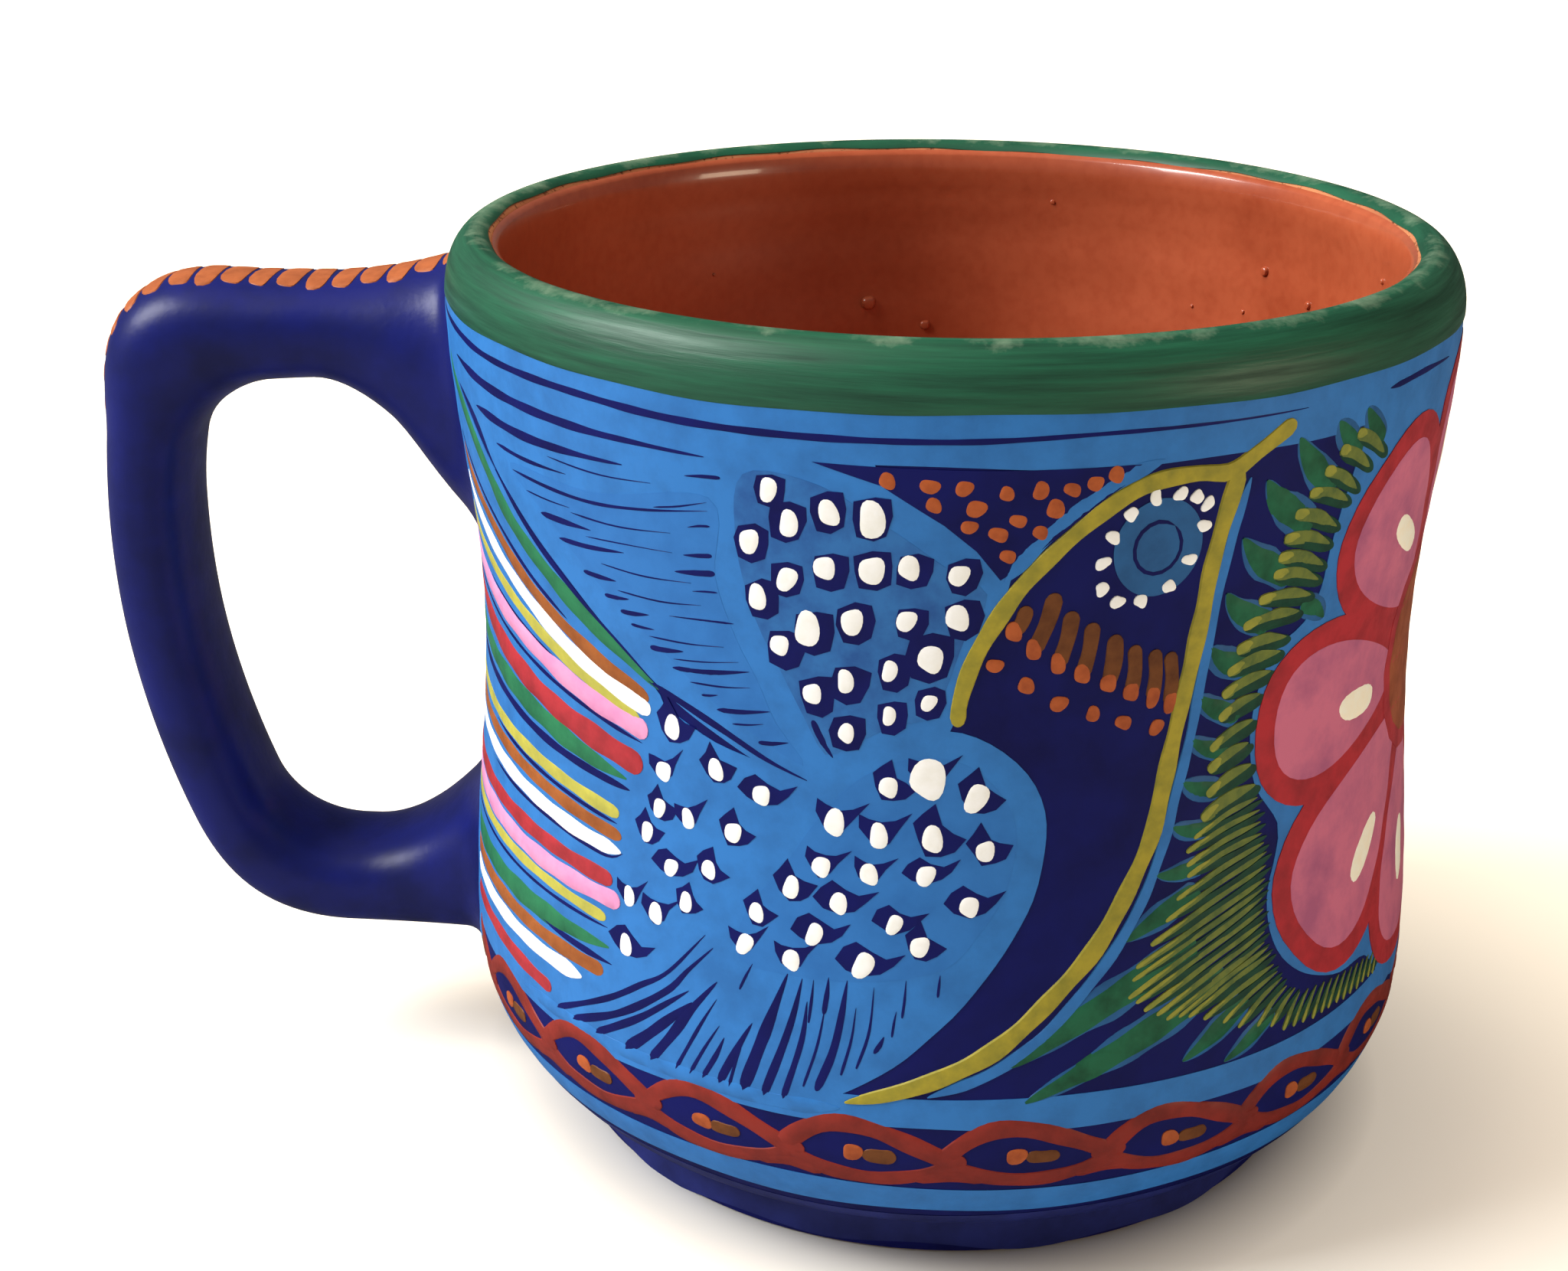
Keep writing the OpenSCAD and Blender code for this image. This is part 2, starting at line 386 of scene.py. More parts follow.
def strap_point(s, turn, lift=0.0):
    dist, z, angle, outer, inner, half = strap(min(max(s, 0), strap_length))
    d = min(s, strap_length - s)
    grow = lift
    if d < root_fillet:
        grow += root_fillet * (1 - ellipse_side(1 - max(d, 0) / root_fillet))
    across = rounded(math.cos(turn))
    middle = (outer - inner) / 2 + ((outer + inner) / 2 + grow) * across
    y = (half + grow) * rounded(math.sin(turn))
    up = z + middle * math.sin(angle)
    out = dist + middle * math.cos(angle)
    if d < web_reach:
        root_r = upper_root_r if s < upper_end else lower_root_r
        skin = wall_r(min(max(up, 2), lip_z + 2)) + coat_t
        out += min(d, 0) + (math.sqrt(skin * skin - y * y) - root_r) * fade(d / web_reach)
    place = Vector((-out, y, up))
    lump = 0.12 * noise.noise(place / 9) * min(1, max(0, d) / 4)
    return (place + Vector((0, rounded(math.sin(turn)), 0)) * lump) * MM


# Cold paint on fired clay: a satin film, uneven where the brush left it thin, over the clay's fine grain.
def brushed_paint(name, full, thin, gloss=0.42, brush=5.0, shine=0.2):
    material = new_material(name)
    place = own_place(material)
    streak = clouds(material, place, brush, 5, 0.6)
    grain = clouds(material, place, 0.7, 2)
    surface(material, {
        "Base Color": ramp(material, streak, 0.32, thin, 0.6, full),
        "Roughness": remap(material, streak, 0.3, 0.7, gloss + 0.1, gloss - 0.04),
        "Specular IOR Level": shine, "Normal": relief(material, grain, 0.35, 0.05)})
    return material


handle_blue = brushed_paint(
    "dark_blue_handle_paint", "#181F6A", "#121852", gloss=0.32, brush=8.0, shine=0.22)
strap_sides = 56
rings = [-1.2]
rings += [root_fillet * (1 - math.sin(math.radians(90 - 15 * i))) for i in range(7)]
count = 130
rings += [root_fillet + (strap_length - 2 * root_fillet) * i / count for i in range(1, count)]
rings += [strap_length - s for s in reversed(rings[:8])]
points = []
faces = []
for s in rings:
    for k in range(strap_sides):
        points.append(strap_point(s, 2 * math.pi * k / strap_sides))
for i in range(len(rings) - 1):
    here = i * strap_sides
    there = here + strap_sides
    for k in range(strap_sides):
        j = (k + 1) % strap_sides
        faces.append((here + k, there + k, there + j, here + j))
faces.append(list(range(strap_sides)))
faces.append([len(points) - 1 - k for k in range(strap_sides)])
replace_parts(new_piece("handle_strap", points, faces, "painted_handle", handle_blue), "handle")


# Ground coat: dark blue paint over the whole outside, from just above the table to the green band.
# It is brushed on thin, and a little cloudy where the brush left less of it.
band_z = 80.8
bare_foot = 0.25


def ground_line(deg):
    line = [(wall_r(z) + coat_t, z) for z in wall_levels(bare_foot, band_z + 0.8)]
    return line + [(r - coat_t - 0.2, z) for r, z in reversed(line)]


ground_blue = brushed_paint(
    "dark_blue_ground_paint", "#111660", "#0E1150", gloss=0.44, brush=7.0, shine=0.12)
points, faces = lathe(ground_line, loop=True)
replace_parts(new_piece("ground_coat_skin", points, faces, "blue_ground", ground_blue), "ground_coat")


# Rim coat: a green band brushed over the lip as the cup turned, so both its edges wander a little.
# The crest of the lip is paler in patches, more towards its top.
def rim_line(deg):
    turn = math.radians(deg)
    low = (band_z - 0.15 + 0.16 * math.sin(3 * turn) + 0.1 * math.sin(7 * turn + 1)
           + 0.05 * math.sin(19 * turn))
    stop = 50 + 8 * math.sin(2 * turn + 2.4) + 5 * math.sin(5 * turn) + 4 * math.sin(23 * turn)
    line = [(wall_r(low) - 0.2, low), (wall_r(low) + coat_t + 0.06, low),
            (wall_r(low + 0.2) + coat_t + 0.15, low + 0.2)]
    start = math.asin(min(1, max(0, (low + 0.6 - lip_z) / lip_h)))
    for i in range(15):
        a = start + (math.pi / 2 - start) * i / 14
        line.append((rim_r - lip_w + (lip_w + coat_t + 0.15) * math.cos(a),
                     lip_z + (lip_h + coat_t) * math.sin(a)))
    for i in range(1, 10):
        a = math.pi / 2 + math.radians(stop) * min(i, 8) / 8
        thick = coat_t * (1 - 0.09 * i) if i < 9 else -0.3
        line.append((rim_r - lip_w + (wall - lip_w + thick) * math.cos(a),
                     height - inner_lip_h + (inner_lip_h + thick) * math.sin(a)))
    return line


# Green paint with brush streaks that run round the lip, paler in patches on the crest.
rim_green = new_material("green_rim_paint_pale_crest")
place = own_place(rim_green)
axis = add(rim_green, "ShaderNodeSeparateXYZ", {"Vector": place})
flat = add(rim_green, "ShaderNodeCombineXYZ", {"X": axis.outputs["X"], "Y": axis.outputs["Y"]})
reach = add(rim_green, "ShaderNodeVectorMath", {0: flat.outputs["Vector"]}, operation="LENGTH")
across = arithmetic(rim_green, "SUBTRACT", axis.outputs["Z"], reach.outputs["Value"])
swept = add(rim_green, "ShaderNodeCombineXYZ", {
    "X": axis.outputs["X"], "Y": axis.outputs["Y"], "Z": across})
swept = add(rim_green, "ShaderNodeVectorMath", {
    0: swept.outputs["Vector"], 1: (per_mm(14), per_mm(14), per_mm(0.9))}, operation="MULTIPLY")
streak = add(rim_green, "ShaderNodeTexNoise", {
    "Vector": swept.outputs["Vector"], "Scale": 1, "Detail": 5, "Roughness": 0.6}).outputs["Fac"]
crest_patches = clouds(rim_green, place, 5, 5, 0.7)
# Pale green mixed in by height on the crest and by a noise
crest = remap(rim_green, axis.outputs["Z"], 84.6 * MM, 85.9 * MM, -0.3, 0.1)
pale_share = remap(rim_green, arithmetic(rim_green, "ADD", crest, crest_patches), 0.5, 1.0)
tone = ramp(rim_green, streak, 0.3, "#12412F", 0.7, "#256248")
surface(rim_green, {
    "Base Color": blend(rim_green, pale_share, tone, linear("#8FA68C")),
    "Roughness": remap(rim_green, streak, 0.3, 0.7, 0.56, 0.36),
    "Specular IOR Level": 0.4, "Normal": relief(rim_green, streak, 0.5, 0.12)})
points, faces = lathe(rim_line, 360, loop=True)
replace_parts(new_piece("rim_coat_band", points, faces, "green_band", rim_green), "rim_coat")


# Glaze lining: clear glaze over the red clay inside, poured in and swirled before firing.
# It is glossy and shows the clay's colour, the throwing rings and a few pimples over coarse grit.
glaze_t = 0.4


def lining_line(deg):
    turn = math.radians(deg)
    line = []
    for i in range(6):
        a = math.radians(150 + 5 * i)
        thick = glaze_t * (0.15 + 0.16 * i)
        line.append((rim_r - lip_w + (wall - lip_w + thick) * math.cos(a),
                     height - inner_lip_h + (inner_lip_h + thick) * math.sin(a)))
    for r, z in inside_line(glaze_t):
        ring = 0.05 * math.sin(2 * math.pi * z / 6.5 + turn) + 0.03 * math.sin(2 * math.pi * z / 2.7)
        line.append((r + ring, z))
    low_r = line[-1][0]
    for i in range(1, 24):
        r = low_r + (0.2 - low_r) * i / 23
        ring = 0.08 * math.sin(2 * math.pi * r / 5 + turn) * min(1, r / 4)
        line.append((r, floor_t + glaze_t + ring))
    return line + [(r + 0.35 if z > floor_t + 2 else r, z - 0.3) for r, z in reversed(line)]


clear_glaze = new_material("clear_glaze_on_red_clay")
place = own_place(clear_glaze)
fine = clouds(clear_glaze, place, 1.1, 3)
tone = ramp(clear_glaze, clouds(clear_glaze, place, 16, 4), 0.3, "#A64E30", 0.7, "#BC603E")
speck = ramp(clear_glaze, fine, 0.3, "#F5ECE8", 0.6, "#FFFFFF")
surface(clear_glaze, {
    "Base Color": blend(clear_glaze, 1, tone, speck, "MULTIPLY"), "Roughness": 0.3,
    "Normal": relief(clear_glaze, fine, 0.12, 0.04), "Coat Weight": 0.7, "Coat Roughness": 0.08})
points, faces = lathe(lining_line, loop=True)
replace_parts(new_piece("glaze_lining_skin", points, faces, "clear_glaze", clear_glaze), "glaze_lining")


# Quads between rings of points that follow each other, and a cap on each end
def join_rings(faces, first, rows, sides):
    for i in range(rows - 1):
        low = first + i * sides
        for k in range(sides):
            j = (k + 1) % sides
            faces.append((low + k, low + j, low + sides + j, low + sides + k))
    faces.append([first + sides - 1 - k for k in range(sides)])
    faces.append([first + sides * (rows - 1) + k for k in range(sides)])


# A low blunt dome on any surface: place takes two lengths along the surface and a height above it.
def dab(painted, place, half_a, half_b, high, tilt=0.0, uneven=0.06, blunt=2.4):
    points, faces = painted
    first = len(points)
    sides = 20
    phase = random.uniform(0, 6)
    steps = ((1, -0.08), (0.95, 0.6 * high), (0.75, 0.92 * high), (0.4, high))
    for size, lift in steps:
        for k in range(sides):
            a = 2 * math.pi * k / sides
            edge = size * (1 + uneven * math.sin(2 * a + phase) + 0.6 * uneven * math.sin(3 * a - phase))
            x = half_a * edge * math.copysign(abs(math.cos(a)) ** (2 / blunt), math.cos(a))
            y = half_b * edge * math.copysign(abs(math.sin(a)) ** (2 / blunt), math.sin(a))
            along = x * math.cos(tilt) - y * math.sin(tilt)
            across = x * math.sin(tilt) + y * math.cos(tilt)
            points.append(place(along, across, lift))
    join_rings(faces, first, len(steps), sides)


# Glaze pimples: grit that stood proud of the clay and took the glaze over itself.
# Most are on the wall away from the handle, a fraction of a millimetre high, and a few are larger.
random.seed(11)
bumps = [(193, 68.5, 0.75), (184, 66, 0.5), (128, 76, 0.45), (118, 74, 0.4)]
bumps += [(random.uniform(95, 165), random.uniform(56, 80), random.uniform(0.14, 0.28)) for i in range(14)]
bumps += [(random.uniform(165, 420), random.uniform(22, 78), random.uniform(0.14, 0.26)) for i in range(8)]
painted = ([], [])
for deg, z, size in bumps:

    def inside_wall(a, b, lift, deg=deg, z=z):
        r = wall_r(z + b) - wall - glaze_t
        return on_cup(deg - math.degrees(a / r), r - lift, z + b)

    dab(painted, inside_wall, size, size, 0.8 * size)
new_piece("glaze_pimples", *painted, "clear_glaze", clear_glaze)


# Painted areas: the light blue that the painter brushed over the dark ground, leaving the ground
# open as lines and cells. Places on the wall are degrees round from the front, to the right, and
# heights. The far side carries the same picture, mirrored about the flower and stretched at the tail.
DEG_MM = 0.8
skin_lift = 0.05
seam = -90
mirror_deg = 73
tail_deg = -33
tail_stretch = 1.62


def wall_point(deg, z, lift):
    return on_cup(deg, wall_r(z) + coat_t + lift, z)


def near_side(deg):
    return deg


def far_side(deg):
    if deg > tail_deg:
        return 2 * mirror_deg - deg
    return 2 * mirror_deg - tail_deg + tail_stretch * (tail_deg - deg)


both_sides = (near_side, far_side)


# A smooth line through given places, in millimetres on the unrolled wall
def flow(places, side=near_side, closed=False, step=0.6):
    spots = [Vector((side(deg) * DEG_MM, z)) for deg, z in places]
    if closed:
        spots = [spots[-1]] + spots + spots[:2]
    else:
        spots = [2 * spots[0] - spots[1]] + spots + [2 * spots[-1] - spots[-2]]
    line = []
    for a, b, c, d in zip(spots, spots[1:], spots[2:], spots[3:]):
        parts = max(2, math.ceil((c - b).length / step))
        for i in range(parts):
            t = i / parts
            line.append(0.5 * (2 * b + (c - a) * t + (2 * a - 5 * b + 4 * c - d) * t * t
                               + (3 * b - a - 3 * c + d) * t ** 3))
    if not closed:
        line.append(spots[-2])
    return line


# A flat film of paint over closed outlines on the unrolled wall, its edge carried down into the coat
def film(outlines, lift, cell=1.2):
    spots = []
    loops = []
    for outline in outlines:
        if sum(a.x * b.y - b.x * a.y for a, b in zip(outline, outline[1:] + outline[:1])) < 0:
            outline = outline[::-1]
        loop = []
        for a, b in zip(outline, outline[1:] + outline[:1]):
            parts = max(1, math.ceil((b - a).length / cell))
            for i in range(parts):
                loop.append(len(spots))
                spots.append(a.lerp(b, i / parts))
        loops.append(loop)
    low_x, high_x = min(p.x for p in spots), max(p.x for p in spots)
    low_y, high_y = min(p.y for p in spots), max(p.y for p in spots)
    for i in range(math.ceil((high_x - low_x) / cell)):
        for j in range(math.ceil((high_y - low_y) / cell)):
            spots.append(Vector((low_x + (i + 0.5 * (j % 2)) * cell, low_y + (j + 0.31) * cell)))
    flat, _, corners, _, _, owners = geometry.delaunay_2d_cdt(spots, [], loops, 0, 1e-5, True)
    kept = [face for face, owner in zip(corners, owners) if owner]
    used = sorted({k for face in kept for k in face})
    number = {k: i for i, k in enumerate(used)}
    points = [wall_point(flat[k].x / DEG_MM, flat[k].y, lift) for k in used]
    points += [wall_point(flat[k].x / DEG_MM, flat[k].y, -0.1) for k in used]
    faces = []
    sides = set()
    for face in kept:
        face = [number[k] for k in face]
        faces.append(face)
        faces.append([k + len(used) for k in reversed(face)])
        for a, b in zip(face, face[1:] + face[:1]):
            sides.add((a, b))
    for a, b in sides:
        if (b, a) not in sides:
            faces.append((b, a, a + len(used), b + len(used)))
    return points, faces


# A band right round from the seam behind the handle, with edges that wander a little
def band_outline(low, high, wave=0.12):
    edge = []
    for i in range(181):
        turn = math.radians(2 * i)
        z = low + wave * math.sin(5 * turn + low) + wave * math.sin(13 * turn)
        edge.append(Vector(((2 * i + seam) * DEG_MM, z)))
    for i in reversed(range(181)):
        z = high + wave * math.sin(6 * math.radians(2 * i) + high)
        edge.append(Vector(((2 * i + seam) * DEG_MM, z)))
    return edge


wing = [
    (-92, 78), (-40, 78), (-10, 77.5), (-6, 75.9), (0, 72.9), (3.5, 70.4), (6.6, 67.6), (4.6, 63.5),
    (2.8, 60), (1.6, 56.5), (1.2, 54.5), (-4, 53.7), (-9, 51), (-13, 48.6), (-24, 52), (-32, 55.4),
    (-43, 61.4), (-56, 68.2), (-66, 74), (-92, 76),
]
breast = [
    (-15, 50.2), (-9, 51.8), (-4, 53.8), (1, 54.6), (5.4, 53.5), (9.4, 50.8), (11.4, 47.5), (11.5, 44),
    (10.4, 39.8), (7.6, 35.4), (3.6, 30.8), (0, 27.6), (-3.6, 24.8), (-9, 21.8), (-14, 20), (-40, 19.6),
    (-52, 19.6), (-48, 22), (-40, 26.6), (-32, 31.6), (-25, 37), (-18.5, 43), (-14.5, 47.6),
]
flank = [
    (-33.5, 53.6), (-24, 51.2), (-15, 49.4), (-14, 46), (-25, 36), (-34, 29.4), (-44, 23), (-40, 28),
    (-37.5, 34), (-36.5, 42), (-34.5, 48),
]
tail = [
    (-91, 76), (-76, 76), (-66, 73), (-48, 63.5), (-31, 54.2), (-32, 50), (-33.5, 45), (-35.5, 38),
    (-36, 30), (-41, 26), (-50, 20.5), (-70, 20), (-91, 20),
]
petal_ground = [
    (38, 77.5), (46, 77), (45.4, 73), (44, 68), (43.4, 63), (41.6, 60.4), (37.6, 58.6), (35.8, 55),
    (35.4, 51), (36.6, 46.6), (40.2, 42.6), (40, 40), (39.2, 38), (38.7, 36), (38.9, 34), (39.7, 32),
    (41.2, 30), (44, 28), (47.6, 26.5), (52, 25.4), (58, 25), (63, 21.6), (74, 20), (74, 50),
    (74, 77.5),
]
areas = [band_outline(76.6, band_z + 0.1), band_outline(19, 22), band_outline(9.7, 12.8)]
for side in both_sides:
    for outline in (wing, breast, flank, tail, petal_ground):
        line = flow(outline, side, closed=True, step=1.5)
        areas.append([Vector((min(max(p.x, seam * DEG_MM), (seam + 360) * DEG_MM), p.y)) for p in line])
light_blue = brushed_paint("light_blue_paint", "#3179C4", "#2B6BB0", gloss=0.45, brush=4.0)
new_piece("light_blue_areas", *film(areas, skin_lift), "blue_ground", light_blue)


# Washes: thinner light blue in the dotted wing, the combed wing, the breast and the eye, and violet
# on the foot, made lighter there as painted light thrown up from the table. The dark ground shows
# through them, so they sit between the two blues.
comb_lift = 0.06
wash_lift = 0.065
eye_z = 69.6


# Places round an oval, from a number of twelfths of a turn
def oval(deg, z, half_a, half_b, twelfths, start=0.0):
    turns = [a / 6 * math.pi + start for a in range(twelfths)]
    return [(deg + half_a * math.cos(a), z + half_b * math.sin(a)) for a in turns]


wing_wash = [
    (-19.6, 75), (-12, 74.8), (-5, 71.6), (0, 68.8), (4.4, 66.4), (2.4, 62.6), (0.6, 58), (-0.6, 55.8),
    (-5, 54.6), (-9, 52.8), (-11.6, 51.8), (-14, 55), (-16.6, 59), (-19, 63), (-20.6, 69),
]
comb_wash = [
    (-53, 70.4), (-38, 70.8), (-23.4, 72.6), (-23.2, 66), (-21.4, 61.2), (-19.2, 57.8), (-17, 54),
    (-14, 50.6), (-23, 54.2), (-31, 58.6), (-38, 62.2), (-46, 66.8),
]
breast_wash = [
    (-8, 50), (-3, 52), (2, 52), (5.8, 50), (8.2, 47), (8.4, 43.6), (7.2, 40), (4.4, 36.4), (1.2, 33.8),
    (-6, 32.4), (-14, 32), (-20.6, 32.6), (-20, 37), (-16, 41.4), (-12.4, 46),
]
combs = []
eyes = []
washes = []
for side in both_sides:
    washes.append(flow(wing_wash, side, closed=True, step=1.5))
    for outline in (comb_wash, breast_wash):
        combs.append(flow(outline, side, closed=True, step=1.5))
    eyes.append(flow(oval(21.3, eye_z, 4.7, 4.1, 12), side, closed=True))
mid_blue = brushed_paint("mid_blue_wash", "#2F6EB2", "#24569A", gloss=0.45, brush=3.0)
new_piece("mid_blue_washes", *film(washes, wash_lift), "blue_ground", mid_blue)
comb_blue = brushed_paint("comb_blue_wash", "#2F74BE", "#296AB2", gloss=0.45, brush=4.0)
new_piece("comb_blue_washes", *film(combs, comb_lift), "blue_ground", comb_blue)
eye_blue = brushed_paint("eye_blue_paint", "#27609A", "#215388", gloss=0.45, brush=3.0)
new_piece("eye_discs", *film(eyes, skin_lift), "blue_ground", eye_blue)
# The foot's violet is lighter than its paint: painted light thrown up from the pale table
foot_violet_and_bounce = brushed_paint("violet_foot_paint_with_painted_bounce", "#283078", "#1F2560", gloss=0.45, brush=5.0)
new_piece("foot_wash_with_painted_bounce", *film([band_outline(0.5, 8.7, 0.3)], skin_lift), "blue_ground", foot_violet_and_bounce)


# How full a stroke is near an end: a short end is round, a long one runs to a point.
def taper(s, reach, width):
    if reach > width:
        return min(1, s / reach) ** 0.6
    return ellipse_side(max(0, 1 - s / reach))


# The section of a stroke: shares of its half width and of its height. The edges lie a little in the coat.
bead = ((1, -0.08), (0.8, 0.75), (0, 1), (-0.8, 0.75), (-1, -0.08))


# One brush stroke: a flattened bead of paint with a width and a height. It swells over the length of its
# start, runs level and thins over the length of its end.
def stroke(painted, places, width, lift, start=None, end=None, side=near_side):
    line = flow(places, side)
    marks = [0.0]
    for a, b in zip(line, line[1:]):
        marks.append(marks[-1] + (b - a).length)
    total = marks[-1]
    start = min(total * 0.5, width / 2 if start is None else start)
    end = min(total * 0.5, width / 2 if end is None else end)
    count = max(8, math.ceil(total / 0.8))
    wanted = [total * i / count for i in range(1, count)]
    wanted += [start * u for u in (0.015, 0.1, 0.3)] + [total - end * u for u in (0.3, 0.1, 0.015)]
    spots = []
    for s in sorted(wanted):
        if not spots or s - spots[-1] > 0.02 * width:
            spots.append(s)
    phase = random.uniform(0, 6)
    points, faces = painted
    first = len(points)
    k = 0
    for s in spots:
        while k < len(line) - 2 and marks[k + 1] < s:
            k += 1
        along = (line[k + 1] - line[k]).normalized()
        here = line[k] + along * (s - marks[k])
        across = Vector((-along.y, along.x))
        swell = taper(s, start, width) * taper(total - s, end, width)
        wave = 1 + 0.07 * math.sin(1.1 * s + phase) + 0.05 * math.sin(0.47 * s - phase)
        half = width / 2 * swell * wave
        for out, high in bead:
            spot = here + across * half * out
            raised = lift * high if high > 0 else high
            points.append(wall_point(spot.x / DEG_MM, spot.y, raised))
    join_rings(faces, first, len(spots), len(bead))


def wall_dab(painted, deg, z, half_a, half_b, lift, tilt=0.0, uneven=0.1):
    def on_wall(a, b, up):
        return wall_point(deg + a / DEG_MM, z + b, up)

    dab(painted, on_wall, half_a, half_b, lift, tilt, uneven)


# Light blue lines: thin strokes that edge the beak line and the shoulder patch, and rings round the roots.
# The same paint as the areas, drawn with a fine liner brush.
random.seed(23)
painted = ([], [])
beak_edge = [
    (30.8, 74.5), (29.8, 71.3), (28.8, 65.4), (28.2, 58.7), (27.4, 52.4), (26.1, 47.8), (24.8, 43.5),
    (22.6, 39), (19.6, 35), (15.6, 31), (11.4, 27.4), (6.2, 24.4), (0, 22.2),
]
patch_edge = [(6, 67.4), (9.2, 70.6), (13, 73.4), (17.2, 75.6), (21, 76.8)]
for side in both_sides:
    stroke(painted, beak_edge, 1.2, 0.1, 3, 3, side)
    stroke(painted, patch_edge, 1.4, 0.1, 2, 2, side)
for middle, half_a, half_b in ((69.5, 11.8, 13.1), (21.6, 11.8, 10.6)):
    line = []
    for k in range(33):
        a = 2 * math.pi * k / 32
        z = middle + half_b * rounded(math.sin(a + 2))
        if z < band_z - 0.5:
            line.append((seam + half_a * rounded(math.cos(a + 2)) / DEG_MM, z))
    stroke(painted, line, 2.9, 0.15, 0.6, 0.6)
new_piece("light_blue_lines", *painted, "blue_ground", light_blue)


# Dark line work: the lines of dark blue in the combed wing, the rays of the fan and a ring in the eye.
# They are drawn back over the light blue with a pointed brush, so they swell and run out thin.
# A line has its places and its width.
line_lift = 0.085


# From the first place of a stroke to its last, in millimetres on the unrolled wall
def span(places):
    return math.hypot((places[-1][0] - places[0][0]) * DEG_MM, places[-1][1] - places[0][1])


random.seed(31)
painted = ([], [])
wing_lines = [
    ((-84, 80.2), (-66, 79.4), (-57, 79), (-40, 78.9), (-24, 78.5), (0, 78.7), (16, 79.2), (38, 79.3),
     0.75),
    ((50, 79), (58, 79.2), (66, 78.9), 0.6),
    ((-68, 76.9), (-57, 76.3), (-40, 76), (-32, 76), (-23.4, 75.9), 1),
    ((-61, 73.8), (-50, 73.5), (-40, 73.7), (-33.4, 73.9), 1),
    ((-56, 71.5), (-49.6, 71.4), (-42, 71.6), 0.45),
    ((-52.6, 69.9), (-40, 69.8), (-32, 70.4), (-23.4, 71.5), 0.4),
    ((-50, 68.6), (-46, 68.6), (-42, 68.7), 0.2), ((-47.6, 67.1), (-43, 67.2), (-39, 67.3), 0.7),
    ((-44.6, 65.5), (-40, 65.7), (-34.4, 66.2), 0.55), ((-41, 63.3), (-38.6, 63.3), (-36, 63.4), 0.55),
    ((-38, 61.8), (-36, 61.9), (-34.4, 62.1), 0.5), ((-35.8, 60.8), (-34, 60.9), (-31.8, 61.2), 0.5),
    ((-34.4, 59.9), (-33, 59.9), (-31.2, 60), 0.35), ((-32, 58.3), (-30, 58.4), (-27.6, 58.7), 0.65),
    ((-29.2, 57), (-25, 57.3), (-19.8, 58.1), 0.6), ((-25.6, 55.2), (-24.6, 55.3), (-23.6, 55.5), 0.25),
    ((-23.8, 54.2), (-21, 54.4), (-17.6, 54.9), 0.5), ((-22, 53.2), (-20, 53.4), (-18.4, 53.7), 0.2),
    ((-19, 52), (-17.4, 52.1), (-15.6, 52.4), 0.45), ((-22, 74.4), (-24, 74.3), (-26, 74.1), 0.4),
    ((-23.4, 70.2), (-24.6, 70.1), (-26, 69.8), 0.25), ((-23.4, 67.7), (-25, 67.5), (-26.8, 67.3), 0.5),
    ((-23.2, 66.2), (-25, 66), (-28, 65.7), 0.7), ((-23, 64.6), (-24.4, 64.5), (-26, 64.3), 0.2),
    ((-21.4, 62.1), (-25, 61.9), (-29.2, 61.6), 0.25),
    ((-32.6, 55.2), (-28, 54), (-23, 52.4), (-18, 50.6), (-13.4, 49.3), 0.75),
    ((-57.6, 68.8), (-49, 63.8), (-39, 59), (-31.4, 55), 0.65),
    ((-45, 72.6), (-37, 72.5), (-30, 72.9), 0.18), ((-42, 68.3), (-35, 68.4), (-28, 69), 0.2),
    ((-40, 66.6), (-34, 67), (-28, 67.3), 0.15), ((-38, 64.6), (-32, 64.6), (-26, 65), 0.18),
    ((-36, 62.6), (-30, 62.7), (-25, 63.2), 0.2), ((-32, 59.3), (-27, 59.5), (-22.6, 59.9), 0.18),
    ((-29, 57.8), (-25, 58.2), (-21, 58.8), 0.15), ((-27, 56.1), (-23, 56.3), (-19.8, 56.7), 0.2),
    ((-30, 70.9), (-27, 71.4), (-23.6, 72.2), 0.2), ((-13, 54.7), (-12, 53), (-10.8, 51.6), 0.7),
]
